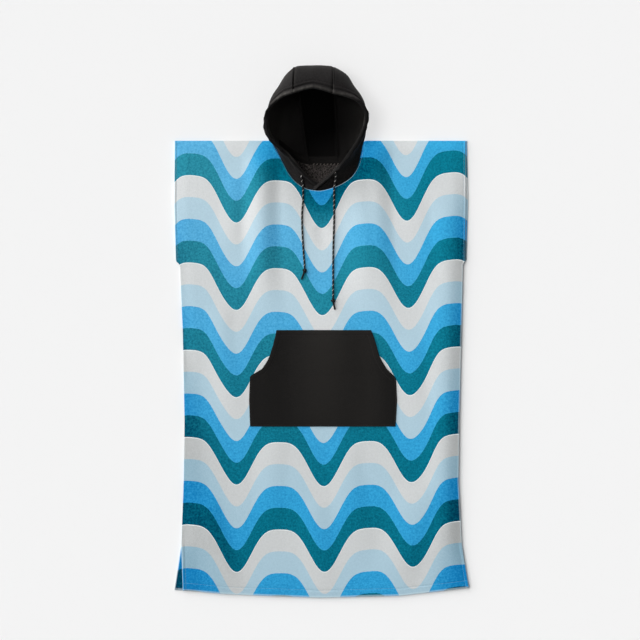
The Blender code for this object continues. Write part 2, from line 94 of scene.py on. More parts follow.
def smooth_curve(points, count):
    """`count` evenly spaced points on the Catmull-Rom cubic through the given points.

    Between p1 and p2, with p0 before and p3 after, the curve at share t is
    p1 + [(p2 - p0) t + (2 p0 - 5 p1 + 4 p2 - p3) t^2 + (3 p1 - 3 p2 + p3 - p0) t^3] / 2.
    """
    given = np.array(points, dtype=float)
    padded = np.vstack([2 * given[0] - given[1], given, 2 * given[-1] - given[-2]])
    t = np.linspace(0.0, 1.0, 24, endpoint=False)[None, :, None]
    p0, p1, p2, p3 = (padded[i : len(padded) - 3 + i, None] for i in range(4))
    square = 2 * p0 - 5 * p1 + 4 * p2 - p3
    cube = 3 * (p1 - p2) + p3 - p0
    curve = p1 + 0.5 * ((p2 - p0) * t + square * t**2 + cube * t**3)
    dense = np.vstack([curve.reshape(-1, 3), given[-1:]])
    reach = walked(dense)
    wanted = np.linspace(0.0, reach[-1], count)
    return np.stack([np.interp(wanted, reach, dense[:, axis]) for axis in range(3)], axis=1)


def walked(points):
    """Distance from the first point to each point, walked along the first axis of the array."""
    gaps = np.linalg.norm(np.diff(points, axis=0), axis=-1)
    return np.concatenate([np.zeros_like(gaps[:1]), np.cumsum(gaps, axis=0)])


def soft_step(value):
    """0 below 0, 1 above 1, and 3 t^2 - 2 t^3 between."""
    t = np.clip(value, 0.0, 1.0)
    return t * t * (3.0 - 2.0 * t)


def stretch(value, start, end, fade_in, fade_out):
    """1 between two places, rising softly past the start and falling softly before the end."""
    return soft_step((value - start) / fade_in) * soft_step((end - value) / fade_out)


def bell(value, middle, width):
    """1 at the middle, fading to either side as exp(-((value - middle) / width)^2)."""
    return np.exp(-(((value - middle) / width) ** 2))


def unit(vectors):
    """Vectors of length 1 in the same directions."""
    return vectors / np.linalg.norm(vectors, axis=-1, keepdims=True)


# %% [markdown]
# ## Pieces and materials
# One function turns arrays into a mesh with its maps and hands it to the frame, and one adds a shader node with
# its settings and links. Colours are the hex values of a dyer's card, turned once to linear light. All the cloth
# is matt. The fibres of the knits, the tape and the cord catch a little light at grazing angles, which the
# Principled shader calls sheen. The towelling has none, because its loops swallow it.

# %% From arrays to a piece
def add_piece(name, points, faces, maps, material, replaced=None):
    """Mesh piece from points in metres, faces as rows of corners, and maps of two numbers a point or a corner."""
    mesh = bpy.data.meshes.new(name)
    mesh.from_pydata(points.tolist(), [], faces.tolist())
    for map_name, values in maps.items():
        corners = values[faces.ravel()] if len(values) == len(points) else values
        layer = mesh.uv_layers.new(name=map_name)
        layer.uv.foreach_set("vector", corners.astype(np.float32).ravel())
    mesh.shade_smooth()
    mesh.materials.append(material)
    piece = bpy.data.objects.new(name, mesh)
    bpy.context.scene.collection.objects.link(piece)
    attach(piece, "root")
    if replaced:
        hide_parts(replaced)
    print(f"{name}: {len(points)} points, {len(faces)} faces")
    return piece


def linear(hex_colour):
    """Linear red, green, blue and alpha of an sRGB hex colour."""
    value = np.array([int(hex_colour[i : i + 2], 16) for i in (1, 3, 5)]) / 255.0
    light = np.where(value <= 0.04045, value / 12.92, ((value + 0.055) / 1.055) ** 2.4)
    return (*light.tolist(), 1.0)


def node(tree, kind, inputs, **settings):
    """Adds a shader node; each input is a value or another node's output socket."""
    made = tree.nodes.new("ShaderNode" + kind)
    for key, value in settings.items():
        setattr(made, key, value)
    for key, value in inputs.items():
        if isinstance(value, bpy.types.NodeSocket):
            tree.links.new(value, made.inputs[key])
        else:
            made.inputs[key].default_value = value
    return made


def cloth_material(name, roughness, sheen, sheen_roughness, sheen_tint, specular=0.2):
    """Principled shader for matt cloth, with its node tree."""
    material = bpy.data.materials.new(name)
    material.use_nodes = True
    shader = material.node_tree.nodes["Principled BSDF"]
    shader.inputs["Roughness"].default_value = roughness
    shader.inputs["Specular IOR Level"].default_value = specular
    shader.inputs["Sheen Weight"].default_value = sheen
    shader.inputs["Sheen Roughness"].default_value = sheen_roughness
    shader.inputs["Sheen Tint"].default_value = linear(sheen_tint)
    return material, material.node_tree, shader


# %% [markdown]
# ## Drawcord
# The cord is a round polyester braid, 4.5 mm thick, black with one pale tracer yarn that winds round it once in
# 12 mm. A bevelled curve would be smooth, so the tube is worked out point by point: its radius swells where yarns
# cross, and its map runs once round the cord and, in metres, along it with zero at the knot. Past the knot the
# dipped ends are plain black.

# %% Braided polyester
TRACER_PITCH = 0.0122  # metres of cord for one turn of the pale yarn
TRACER_SHARE = 0.14  # share of the way round that the pale yarn covers

cord_cloth, tree, shader = cloth_material("braided_polyester", 0.6, 0.1, 0.4, "#A0A0A0")
braid = node(tree, "SeparateXYZ", {0: node(tree, "UVMap", {}, uv_map="cloth").outputs[0]})
turns = node(
    tree, "Math", {0: braid.outputs[1], 1: 1.0 / TRACER_PITCH, 2: braid.outputs[0]}, operation="MULTIPLY_ADD"
)
winding = node(tree, "Math", {0: turns.outputs[0]}, operation="FRACT")
pale = node(tree, "Math", {0: winding.outputs[0], 1: TRACER_SHARE}, operation="LESS_THAN")
above_knot = node(tree, "Math", {0: braid.outputs[1], 1: 0.0}, operation="LESS_THAN")
tracer = node(tree, "Math", {0: pale.outputs[0], 1: above_knot.outputs[0]}, operation="MULTIPLY")
yarns = node(tree, "Mix", {0: tracer.outputs[0], 6: linear("#0D0D0E"), 7: linear("#A5A29D")}, data_type="RGBA")
tree.links.new(yarns.outputs[2], shader.inputs["Base Color"])

# %% Tubes
TUBE_SIDES = 20


def tube(path, radius):
    """Closed tube round a path in millimetres.

    Point (i, a) = path_i + radius (cos a * side + sin a * up), where side is level and square to the path and up
    is square to both. The two end rings are filled with quads that join opposite corners.
    """
    rows = len(path)
    along = unit(np.gradient(path, axis=0))
    side = unit(np.cross(along, (0.0, 0.0, 1.0)))
    up = np.cross(side, along)
    angle = np.arange(TUBE_SIDES) * 2.0 * np.pi / TUBE_SIDES
    ring = np.cos(angle)[None, :, None] * side[:, None] + np.sin(angle)[None, :, None] * up[:, None]
    points = path[:, None] + radius[..., None] * ring
    index = np.arange(rows * TUBE_SIDES).reshape(rows, TUBE_SIDES)
    after = np.roll(index, -1, axis=1)
    faces = np.stack([index[:-1], after[:-1], after[1:], index[1:]], axis=-1).reshape(-1, 4)
    half = np.arange(TUBE_SIDES // 2 - 1)
    cap = np.stack([half, half + 1, TUBE_SIDES - 2 - half, TUBE_SIDES - 1 - half], axis=-1)
    faces = np.vstack([faces, cap[:, ::-1], cap + index[-1, 0]])
    return points.reshape(-1, 3), faces[:, ::-1]


def tube_map(rows, along, faces):
    """Map of a tube: share of the way round, and metres along; the last face of a ring runs up to 1."""
    around = np.tile(np.arange(TUBE_SIDES) / TUBE_SIDES, rows)
    corners = np.stack([around, np.repeat(along * MM, TUBE_SIDES)], axis=1)[faces]
    wraps = (corners[..., 0].max(axis=1) - corners[..., 0].min(axis=1) > 0.5)[:, None]
    corners[..., 0] += wraps * (corners[..., 0] < 0.5)
    return corners.reshape(-1, 2)


# %% The two cord ends
CORD_DIAMETER = 4.5
YARN_PITCH = 5.8
YARN_RELIEF = 0.035  # swell of the radius where yarns cross
YARNS_ROUND = 4
KNOT_LENGTH = 13.0
KNOT_GAP = 0.3  # between the last point of the route and the knot
TAIL_LENGTH = 16.0
TAIL_DROP = 2.6  # how far the tail's end hangs below the knot
EYELET_DEPTH = 3.0  # how far the cord starts inside the hood's casing
INTO_CASING = (0.0, 0.6, -1.0)  # direction from the eyelet

LEFT_CORD = (
    # x, y, z
    (-50.3, 378.6, 20.2),
    (-49.7, 372.0, 15.7),
    (-48.4, 366.0, 13.7),
    (-47.3, 358.0, 12.0),
    (-46.5, 346.0, 11.5),
    (-46.5, 322.0, 11.3),
    (-48.5, 295.0, 11.3),
    (-49.0, 268.0, 11.3),
    (-48.0, 240.0, 11.3),
    (-46.5, 212.0, 11.3),
    (-44.6, 184.0, 11.4),
    (-43.2, 168.0, 12.2),
    (-42.6, 155.0, 14.4),
)

RIGHT_CORD = (
    # x, y, z
    (34.1, 386.5, 31.7),
    (33.8, 379.6, 25.4),
    (33.0, 371.9, 21.1),
    (31.8, 364.1, 18.5),
    (30.2, 355.5, 17.3),
    (29.5, 346.0, 13.5),
    (29.5, 335.0, 11.7),
    (29.5, 322.0, 11.3),
    (29.5, 303.0, 11.3),
    (29.5, 273.0, 11.3),
    (28.5, 240.0, 11.3),
    (27.5, 205.0, 11.3),
    (27.0, 170.0, 11.3),
    (27.0, 130.0, 11.3),
    (27.0, 96.0, 12.2),
    (27.0, 82.0, 14.4),
)


def cord_path(route, swing):
    """Points about 1 mm apart from the eyelet through the knot to the tail's end, and the distance of the knot."""
    knot = np.array(route[-1]) - (0.0, KNOT_GAP + KNOT_LENGTH / 2.0, 0.0)
    turn = np.radians(swing)
    out = np.array([np.sin(turn), -np.cos(turn), 0.0])
    start = np.array(route[0]) + EYELET_DEPTH * unit(np.array(INTO_CASING))
    leave = knot + out * KNOT_LENGTH / 2.0
    end = knot + out * (KNOT_LENGTH / 2.0 + TAIL_LENGTH) - (0.0, 0.0, TAIL_DROP)
    given = [start, *route, knot, leave, end]
    path = smooth_curve(given, round(walked(np.array(given))[-1]))
    nearest = np.argmin(np.linalg.norm(path - knot, axis=1))
    return path, walked(path)[nearest]


def braided_radius(reach):
    """Radius of the braid: swells by cos cos where two families of yarns cross, rounded off at both ends."""
    around = np.arange(TUBE_SIDES)[None, :] / TUBE_SIDES * YARNS_ROUND
    along = reach[:, None] / YARN_PITCH
    crossing = np.cos(2 * np.pi * (around + along)) * np.cos(2 * np.pi * (around - along))
    base = CORD_DIAMETER / 2.0
    from_end = np.minimum(reach, reach[-1] - reach)
    rounding = np.sqrt(1.0 - 0.9 * (1.0 - np.clip(from_end / base, 0.0, 1.0)) ** 2)[:, None]
    return base * (1.0 - YARN_RELIEF + YARN_RELIEF * crossing) * rounding


KNOT_TURNS = 1.7
KNOT_RADIUS = 3.8  # of the path of the strand that is wound round the cord
KNOT_CLIMB = 0.3  # share of the knot's length that the strand climbs to either side of its middle
STRAND_RADIUS = CORD_DIAMETER / 2.0 - 0.1  # pulled a little thinner than the cord


def knot_path(centre, swing):
    """The strand wound round the cord: a helix whose radius grows from nothing and shrinks again."""
    t = np.linspace(0.0, 1.0, 60)
    radius = KNOT_RADIUS * np.sin(np.pi * t) ** 0.5
    angle = 2 * np.pi * KNOT_TURNS * t
    climb = KNOT_LENGTH * KNOT_CLIMB * (1.0 - 2.0 * t)
    local = np.stack([radius * np.sin(angle), climb, radius * np.cos(angle)], axis=1)
    turn = np.radians(swing)
    x = local[:, 0] * np.cos(turn) - local[:, 1] * np.sin(turn)
    y = local[:, 0] * np.sin(turn) + local[:, 1] * np.cos(turn)
    return centre + np.stack([x, y, local[:, 2]], axis=1)


def add_cord(side, route, swing):
    """One end of the drawcord, with its knot."""
    path, knot_at = cord_path(route, swing)
    reach = walked(path)
    points, faces = tube(path, braided_radius(reach))
    maps = {"cloth": tube_map(len(path), reach - knot_at, faces)}
    name = f"drawcord_{side}"
    cord = add_piece(name + "_braid", in_frame(points), faces, maps, cord_cloth, name)

    centre = path[np.argmin(np.abs(reach - knot_at))]
    wound = knot_path(centre, swing)
    points, faces = tube(wound, np.full((len(wound), TUBE_SIDES), STRAND_RADIUS))
    maps = {"cloth": tube_map(len(wound), walked(wound), faces)}
    knot_name = name + "_knot"
    knot = add_piece(knot_name + "_strand", in_frame(points), faces, maps, cord_cloth, knot_name)


add_cord("left", LEFT_CORD, -20.0)
add_cord("right", RIGHT_CORD, 12.0)

# %% [markdown]
# ## Printed towelling
# The body is short-pile polyester towelling, printed on the outside, so it is fully matt and a little mottled: loop
# tips take the dye unevenly. Each band has three colours. The clear one is the dye. The sheened one is a painted
# sheen, a pale veil mixed in by its own map, most at the upper left. The third is a painted shade colour: the
# second number of the `edge` map mixes it in, with a random swing from tuft to tuft, so that the cloth darkens
# towards the hem, along the side edges, beside the hood and on fold flanks that face away from the light. The first
# number of that map is the distance from a turned edge, where the pile parts and the pale ground shows. Maps are
# better than noise here, because the painted shade follows the cut and the folds of the garment.
#
# The print is a plain wavy stripe in four bands, drawn from its own formula on a map that counts repeats: with
# c = (1 + cos 2 pi u) / 2, the stripe dips by 0.9 c^2 + 0.1 c, which gives broad crests and narrow troughs.

# %% Printed towelling
# Colours of the four bands, in the order below: under a painted sheen, the plain dye, and a painted shade colour
# that also takes the tufts' random mottle.
SHEENED_PILE = ("#DDE0E1", "#BED8E5", "#64B8E2", "#3196AC")
CLEAR_PILE = ("#DCDFE0", "#BDD7E4", "#3AAEE0", "#098199")
SHADE_AND_MOTTLE_PILE = ("#A9ACAC", "#86A7B8", "#147AB6", "#003C56")
UNPRINTED = "#EAF0F0"  # base cloth, bare in a fine line where two bands of dye do not quite meet
UNPRINTED_SHARE = 0.006  # of the repeat
RAGGED = 0.006  # of the repeat, how far loops carry a band's dye past its edge
STRIPE_DIP = 0.504  # depth of the wave in repeats
DIP_SHARPNESS = 0.9  # share of the squared wave in the dip, the rest being the plain one
LOOP_SIZE = 0.0026  # metres; real loops are 1 mm, drawn coarser so that they show
MOTTLE_SIZE = 0.0048  # metres; tufts of a few loops
MOTTLE = 0.55  # random swing of the shade colour's share from tuft to tuft where the dye is dark
WHITE_MOTTLE = 0.3  # share of that swing on the two pale bands
LOOP_RELIEF = 0.0006  # metres that a loop stands up
PALE_EDGE = 0.0026  # metres in from a turned edge where the pile parts
PARTED = 0.42  # share of the pale ground that shows there
GROUND = "#D6E7ED"

towelling, tree, shader = cloth_material("printed_polyester_towelling", 0.95, 0.0, 0.5, "#E8F0F4", 0.0)
place = node(tree, "TexCoord", {})
repeats = node(tree, "SeparateXYZ", {0: node(tree, "UVMap", {}, uv_map="print").outputs[0]})
turn = node(tree, "Math", {0: repeats.outputs[0], 1: 2.0 * np.pi}, operation="MULTIPLY")
wave = node(tree, "Math", {0: turn.outputs[0]}, operation="COSINE")
trough = node(tree, "Math", {0: wave.outputs[0], 1: 0.5, 2: 0.5}, operation="MULTIPLY_ADD")
slope = node(
    tree, "Math", {0: trough.outputs[0], 1: DIP_SHARPNESS, 2: 1.0 - DIP_SHARPNESS}, operation="MULTIPLY_ADD"
)
dip = node(tree, "Math", {0: trough.outputs[0], 1: slope.outputs[0]}, operation="MULTIPLY")
level = node(tree, "Math", {0: dip.outputs[0], 1: -STRIPE_DIP, 2: repeats.outputs[1]}, operation="MULTIPLY_ADD")
tufts = node(
    tree, "TexNoise",
    {"Vector": place.outputs["Object"], "Scale": 1.0 / MOTTLE_SIZE, "Detail": 2.0, "Roughness": 0.7},
)
ragged = node(tree, "Math", {0: tufts.outputs[0], 1: RAGGED, 2: level.outputs[0]}, operation="MULTIPLY_ADD")
band = node(tree, "Math", {0: ragged.outputs[0]}, operation="FRACT")


def striped(colours):
    """Ramp of the four bands in one state of the pile, with the bare line before the first."""
    ramp = node(tree, "ValToRGB", {0: band.outputs[0]})
    ramp.color_ramp.interpolation = "CONSTANT"
    ramp.color_ramp.elements[0].color = linear(UNPRINTED)
    ramp.color_ramp.elements[1].position = 0.75
    ramp.color_ramp.elements[1].color = linear(colours[3])
    for start, colour in zip((UNPRINTED_SHARE, 0.25, 0.5), colours):
        ramp.color_ramp.elements.new(start).color = linear(colour)
    return ramp.outputs[0]


edge_and_shade = node(tree, "SeparateXYZ", {0: node(tree, "UVMap", {}, uv_map="edge").outputs[0]})
dark_dye = node(tree, "Math", {0: band.outputs[0], 1: 0.5}, operation="GREATER_THAN")
swing = node(
    tree, "Math", {0: dark_dye.outputs[0], 1: MOTTLE * (1.0 - WHITE_MOTTLE), 2: MOTTLE * WHITE_MOTTLE},
    operation="MULTIPLY_ADD",
)
uneven = node(tree, "MapRange", {0: tufts.outputs[0], 1: 0.3, 2: 0.7, 3: -0.5, 4: 0.5})
# Share of the painted shade colour: the map's painted shade with the tufts' random swing.
shade_and_mottle = node(
    tree, "Math", {0: uneven.outputs[0], 1: swing.outputs[0], 2: edge_and_shade.outputs[1]}, operation="MULTIPLY_ADD",
    use_clamp=True,
)
# Painted sheen: a pale veil over the dye, mostly at the upper left.
painted_sheen = node(tree, "SeparateXYZ", {0: node(tree, "UVMap", {}, uv_map="painted_sheen").outputs[0]})
clear_or_sheened = node(
    tree, "Mix", {0: painted_sheen.outputs[0], 6: striped(CLEAR_PILE), 7: striped(SHEENED_PILE)}, data_type="RGBA"
)
pile_colour = node(
    tree, "Mix", {0: shade_and_mottle.outputs[0], 6: clear_or_sheened.outputs[2], 7: striped(SHADE_AND_MOTTLE_PILE)}, data_type="RGBA"
)
# Pale line along turned edges; along the right side seam it is widened as a painted highlight over the rim's shade.
parting = node(tree, "MapRange", {0: edge_and_shade.outputs[0], 1: PALE_EDGE * 0.4, 2: PALE_EDGE, 3: PARTED, 4: 0.0})
edged = node(tree, "Mix", {0: parting.outputs[0], 6: pile_colour.outputs[2], 7: linear(GROUND)}, data_type="RGBA")
tree.links.new(edged.outputs[2], shader.inputs["Base Color"])
loops = node(tree, "TexVoronoi", {"Vector": place.outputs["Object"], "Scale": 1.0 / LOOP_SIZE})
pile = node(tree, "Bump", {"Height": loops.outputs[0], "Strength": 0.4, "Distance": LOOP_RELIEF})
tree.links.new(pile.outputs[0], shader.inputs["Normal"])

# %% [markdown]
# ## Jersey and tape
# Hood and pocket are a black cotton double-knit: fine upright ribs, a little fluff, almost no gloss. Their colour
# carries painted light: a grey painted highlight on edges and facets that face the lamps, and a blacker painted
# shade on the inner side deep in the hood. The facing inside the neck is a single jersey of mixed black and grey
# yarn, which looks speckled. The neck seam is bound with black twill. One function makes all four, because they
# differ only in their yarns and in the pitch of their ribs.

# %% Knits and tape
RIB = 0.0016  # metres from one column of stitches to the next, coarser than the real 1 mm so that it shows
TWILL_LINE = 0.0009  # metres from one twill line to the next
RIB_RELIEF = 0.0004  # metres that ribs and fluff stand up
WAVE_NODE_PERIOD = 2.0 * np.pi / 20.0  # a Wave Texture of scale 1 repeats after this length


def knit(name, dark, light, fleck, sheen, rib, relief, inner=None, painted_highlight=None, spread=0.12):
    """Knit or twill: two yarn colours mixed by noise of the fleck's size, and ribs down the cloth.

    With an inner colour, the map `face` mixes in that painted shade colour by its first number, and a painted
    highlight colour by its second.
    """
    material, tree, shader = cloth_material(name, 0.85, sheen, 0.45, "#B8B0AA")
    place = node(tree, "TexCoord", {})
    cloth = node(tree, "UVMap", {}, uv_map="cloth")
    fluff = node(tree, "TexNoise", {"Vector": place.outputs["Object"], "Scale": 1.0 / fleck, "Detail": 2.0})
    share = node(tree, "MapRange", {0: fluff.outputs[0], 1: 0.5 - spread, 2: 0.5 + spread, 3: 0.0, 4: 1.0})
    colour = node(tree, "Mix", {0: share.outputs[0], 6: linear(dark), 7: linear(light)}, data_type="RGBA")
    if inner:
        face = node(tree, "SeparateXYZ", {0: node(tree, "UVMap", {}, uv_map="face").outputs[0]})
        colour = node(tree, "Mix", {0: face.outputs[1], 6: colour.outputs[2], 7: linear(painted_highlight)}, data_type="RGBA")
        colour = node(tree, "Mix", {0: face.outputs[0], 6: colour.outputs[2], 7: linear(inner)}, data_type="RGBA")
    tree.links.new(colour.outputs[2], shader.inputs["Base Color"])
    ribs = node(tree, "TexWave", {"Vector": cloth.outputs[0], "Scale": WAVE_NODE_PERIOD / rib, "Distortion": 1.0})
    both = node(tree, "Math", {0: fluff.outputs[0], 1: ribs.outputs["Fac"]}, operation="ADD")
    bump = node(tree, "Bump", {"Height": both.outputs[0], "Strength": relief, "Distance": RIB_RELIEF})
    tree.links.new(bump.outputs[0], shader.inputs["Normal"])
    return material


# Black knit: two yarn colours, then a painted shade colour for the inside of the hood and a painted highlight
# colour.
black_knit = knit("black_cotton_double_knit", "#151313", "#201E1E", 0.003, 0.06, RIB, 0.5, "#050404", "#464441")
# Pocket: its last colour is painted light; its inner colour is never mixed in.
pocket_knit = knit(
    "black_cotton_double_knit_pocket", "#0A0908", "#110F0E", 0.003, 0.03, RIB, 0.5, "#080707", "#46433F"
)
heather = knit("grey_heather_single_jersey", "#0B0A09", "#4E4846", 0.0026, 0.02, RIB, 0.5, spread=0.10)
twill = knit("black_cotton_twill_tape", "#0B0A09", "#151211", 0.002, 0.03, TWILL_LINE, 0.4)


def thread(name, colour):
    """Sewing thread: plain spun polyester."""
    material, _, shader = cloth_material(name, 0.7, 0.0, 0.5, "#FFFFFF")
    shader.inputs["Base Color"].default_value = linear(colour)
    return material


pale_thread = thread("spun_polyester_thread_blue", "#7FA6BA")
black_thread = thread("spun_polyester_thread_black", "#2B2726")
grey_thread = thread("textured_polyester_overlock_thread", "#7B746F")

# %% [markdown]
# ## One wall of cloth
# Solidify could thicken an open sheet, but its rim is square. Here the wall's half thickness shrinks towards each
# edge like a quarter circle, the grid has steps that shrink in the same way, and a hem or a sunk row of stitches
# is simply more or less thickness at a given distance from an edge.

# %% Cloth walls
RIM = 1.8  # millimetres over which an edge is rounded
FINE = 1.7  # cell size where hems and stitch rows lie
EDGE_SHARE = 0.12  # share of the thickness that is left at a rounded edge


def steps(length, cell, start, end):
    """Shares from 0 to 1: a rounded rim at both ends, fine cells out to `start` and `end`, even cells between."""
    turn = RIM * (1.0 - np.cos(np.linspace(0.0, np.pi / 2.0, 5)))[:-1]
    first = np.arange(RIM, max(start, RIM + 0.1), FINE)
    last = length - np.arange(RIM, max(end, RIM + 0.1), FINE)[::-1]
    between = np.linspace(first[-1], last[0], max(2, round((last[0] - first[-1]) / cell)) + 1)
    return np.concatenate([turn, first[:-1], between, last[1:], length - turn[::-1]]) / length


def edge_distances(grid):
    """Distance of every grid point from the first row, last row, first column and last column."""
    down = walked(grid)
    across = np.swapaxes(walked(np.swapaxes(grid, 0, 1)), 0, 1)
    return down, down[-1] - down, across, across[:, -1:] - across


def rounding(distances, least=EDGE_SHARE):
    """Share of the thickness near edges: least + (1 - least) sqrt(1 - (1 - d / rim)^2), d being the nearest."""
    near = np.clip(np.minimum.reduce(distances) / RIM, 0.0, 1.0)
    return least + (1.0 - least) * np.sqrt(1.0 - (1.0 - near) ** 2)


def surface_normal(grid, outside):
    """Unit normal of a grid: down the rows crossed with along them, turned round where outside is -1."""
    return outside * unit(np.cross(np.gradient(grid, axis=0), np.gradient(grid, axis=1)))


def wall(grid, over, under, outside=1):
    """Closed wall: both faces at their distance from the grid along its normal, joined round the four edges."""
    normal = surface_normal(grid, outside)
    upper = grid + normal * over[..., None]
    lower = grid - normal * under[..., None]
    rows, columns = grid.shape[:2]
    index = np.arange(rows * columns).reshape(rows, columns)
    faces = np.stack([index[:-1, :-1], index[1:, :-1], index[1:, 1:], index[:-1, 1:]], axis=-1).reshape(-1, 4)
    loop = np.concatenate([index[:-1, 0], index[-1, :-1], index[:0:-1, -1], index[0, :0:-1]])
    after = np.roll(loop, -1)
    count = rows * columns
    rim = np.stack([loop, loop + count, after + count, after], axis=-1)
    faces = np.vstack([faces, faces[:, ::-1] + count, rim])
    points = np.concatenate([upper.reshape(-1, 3), lower.reshape(-1, 3)])
    return points, (faces if outside > 0 else faces[:, ::-1]), upper, lower


def both_sides(*values):
    """Two numbers for every grid point, repeated for the upper and the lower face."""
    pair = np.stack([np.broadcast_to(value, values[0].shape).ravel() for value in values], axis=1)
    return np.vstack([pair, pair])


def cloth_map(grid):
    """Map in metres along the rows and down the columns."""
    down, _, across, _ = edge_distances(grid)
    return both_sides(across * MM, down * MM)


def add_sheet(name, node_name, grid, over, under, maps, material, outside=1):
    """Cloth piece in place of its solid; gives back its upper and lower faces."""
    points, faces, upper, lower = wall(grid, over, under, outside)
    piece = add_piece(name, in_frame(points), faces, maps, material, node_name)
    return upper, lower


# %% [markdown]
# ## Stitches
# A seam's thread shows as short raised dashes. Each is a slim six-sided bead, pointed at both ends, that lies along
# its row and is sunk by half into the groove that its own pull makes in the cloth. All the rows of one part make
# one mesh.

# %% Rows of stitches
BEAD_ROUND = 6


def bead():
    """Slim bead of length 1 along x: two poles and two rings."""
    angle = np.arange(BEAD_ROUND) * 2.0 * np.pi / BEAD_ROUND
    ring = np.stack([np.zeros(BEAD_ROUND), np.cos(angle), np.sin(angle)], axis=1)
    points = np.vstack([(-0.5, 0, 0), ring - (0.25, 0, 0), ring + (0.25, 0, 0), (0.5, 0, 0)])
    k = np.arange(BEAD_ROUND)
    after = (k + 1) % BEAD_ROUND
    start = np.stack([np.zeros(BEAD_ROUND, int), 1 + after, 1 + k], axis=1)
    end = np.stack([np.full(BEAD_ROUND, 2 * BEAD_ROUND + 1), 1 + BEAD_ROUND + k, 1 + BEAD_ROUND + after], axis=1)
    side = np.stack([1 + k, 1 + after, 1 + BEAD_ROUND + after], axis=1)
    other = np.stack([1 + k, 1 + BEAD_ROUND + after, 1 + BEAD_ROUND + k], axis=1)
    return points, np.vstack([start, end, side, other])


def add_stitches(name, lines, pitch, length, width, material, slot, lean=0.0):
    """Rows of beads along lines of (points, upward normals) in millimetres, each turned by `lean` degrees."""
    shape, triangles = bead()
    centres = []
    frames = []
    for points, normals in lines:
        reach = walked(points)
        wanted = np.arange(pitch / 2.0, reach[-1], pitch)
        centre = np.stack([np.interp(wanted, reach, points[:, axis]) for axis in range(3)], axis=1)
        up = unit(np.stack([np.interp(wanted, reach, normals[:, axis]) for axis in range(3)], axis=1))
        tangent = np.gradient(centre, axis=0)
        side = unit(np.cross(up, tangent))
        along = np.cross(side, up)
        turn = np.radians(lean)
        along, side = np.cos(turn) * along + np.sin(turn) * side, np.cos(turn) * side - np.sin(turn) * along
        centres.append(centre)
        frames.append(np.stack([along * length, side * width / 2.0, up * width / 2.0], axis=1))
    centre = np.vstack(centres)
    points = centre[:, None] + np.einsum("pk,nkx->npx", shape, np.vstack(frames))
    faces = triangles[None] + (np.arange(len(centre)) * len(shape))[:, None, None]
    add_piece(name, in_frame(points.reshape(-1, 3)), faces.reshape(-1, 3), {}, material)


def inset_line(face, distance, at, normals):
    """Where a face's own distance from its first row reaches `at`, in each column, with the normals there."""
    row = np.clip((distance < at).sum(axis=0) - 1, 0, len(face) - 2)
    columns = np.arange(face.shape[1])
    low = distance[row, columns]
    high = distance[row + 1, columns]
    share = np.clip((at - low) / (high - low), 0.0, 1.0)[:, None]
    points = face[row, columns] * (1.0 - share) + face[row + 1, columns] * share
    return points, normals[row, columns]


# %% [markdown]
# ## The two body panels
# The panels are cut as rectangles and lie on each other. The grid runs in rows from the shoulder or the neck edge
# to the hem. Creases are placed one by one from a table, because real creases differ: each has a crest line, a
# slow rise on its left, a quicker fall on its right, and fades out at both ends.

# %% Pattern of the panels
PANEL_WALL = 3.0
SEAM_GAP = 0.3
HALF_WIDTH = 357.5
SHOULDER_Y = 467.0
ARMHOLE_END_Y = 168.0
SLIT_Y = -523.0

FRONT_SIDES = (
    # y, left x, right x
    (467.0, -360.5, 351.5),
    (320.0, -362.0, 352.5),
    (172.0, -358.0, 350.5),
    (164.0, -348.0, 345.5),
    (4.0, -341.0, 342.0),
    (-217.0, -336.5, 336.5),
    (-364.0, -338.5, 334.5),
    (-523.0, -344.5, 343.0),
    (-640.0, -340.5, 362.5),
)

BACK_SIDES = (
    # y, left x, right x
    (467.0, -360.5, 355.0),
    (320.0, -362.0, 358.0),
    (172.0, -358.0, 354.0),
    (164.0, -348.0, 345.5),
    (4.0, -341.0, 342.0),
    (-217.0, -336.5, 336.5),
    (-364.0, -338.5, 334.5),
    (-523.0, -344.5, 343.0),
    (-640.0, -362.5, 341.0),
)

FRONT_HEM = (
    # x, y
    (-343.0, -635.0),
    (-245.0, -643.0),
    (-5.0, -652.0),
    (190.0, -647.0),
    (362.0, -627.0),
)

BACK_HEM = (
    # x, y
    (-362.0, -633.0),
    (-245.0, -639.0),
    (-5.0, -646.0),
    (190.0, -641.0),
    (341.0, -628.0),
)

FRONT_NECK = (
    # x, y
    (-125.0, 467.0),
    (-115.0, 446.0),
    (-105.0, 429.5),
    (-94.5, 410.0),
    (-85.0, 391.5),
    (-72.0, 373.5),
    (-56.5, 359.5),
    (-39.0, 350.0),
    (-19.5, 345.5),
    (0.0, 345.0),
    (32.0, 354.0),
    (56.5, 366.0),
    (73.5, 379.0),
    (88.0, 400.0),
    (96.5, 424.5),
    (101.5, 447.0),
    (104.0, 467.0),
)

BACK_NECK = (
    # x, y
    (-125.0, 467.0),
    (-104.0, 455.0),
    (-80.0, 437.0),
    (-56.0, 421.5),
    (-32.5, 415.0),
    (3.0, 414.0),
    (39.0, 415.0),
    (52.0, 421.0),
    (68.0, 435.0),
    (86.0, 453.0),
    (104.0, 467.0),
)


def neck_line(table, x):
    """y of the smooth neck edge at each x."""
    line = smooth_curve([(*row, 0.0) for row in table], 480)
    return np.interp(x, line[:, 0], line[:, 1])


def distance_to(x, y, line):
    """Distance in plan from every point of a grid to the nearest place on a line of straight pieces."""
    start = line[:-1]
    step = np.diff(line, axis=0)
    place = np.stack([x, y], axis=-1)[..., None, :] - start
    share = np.clip((place * step).sum(axis=-1) / (step**2).sum(axis=-1), 0.0, 1.0)
    return np.linalg.norm(place - share[..., None] * step, axis=-1).min(axis=-1)


BEND_FROM = 0.35  # share of the half width where the grid's columns begin to bend towards the side edges


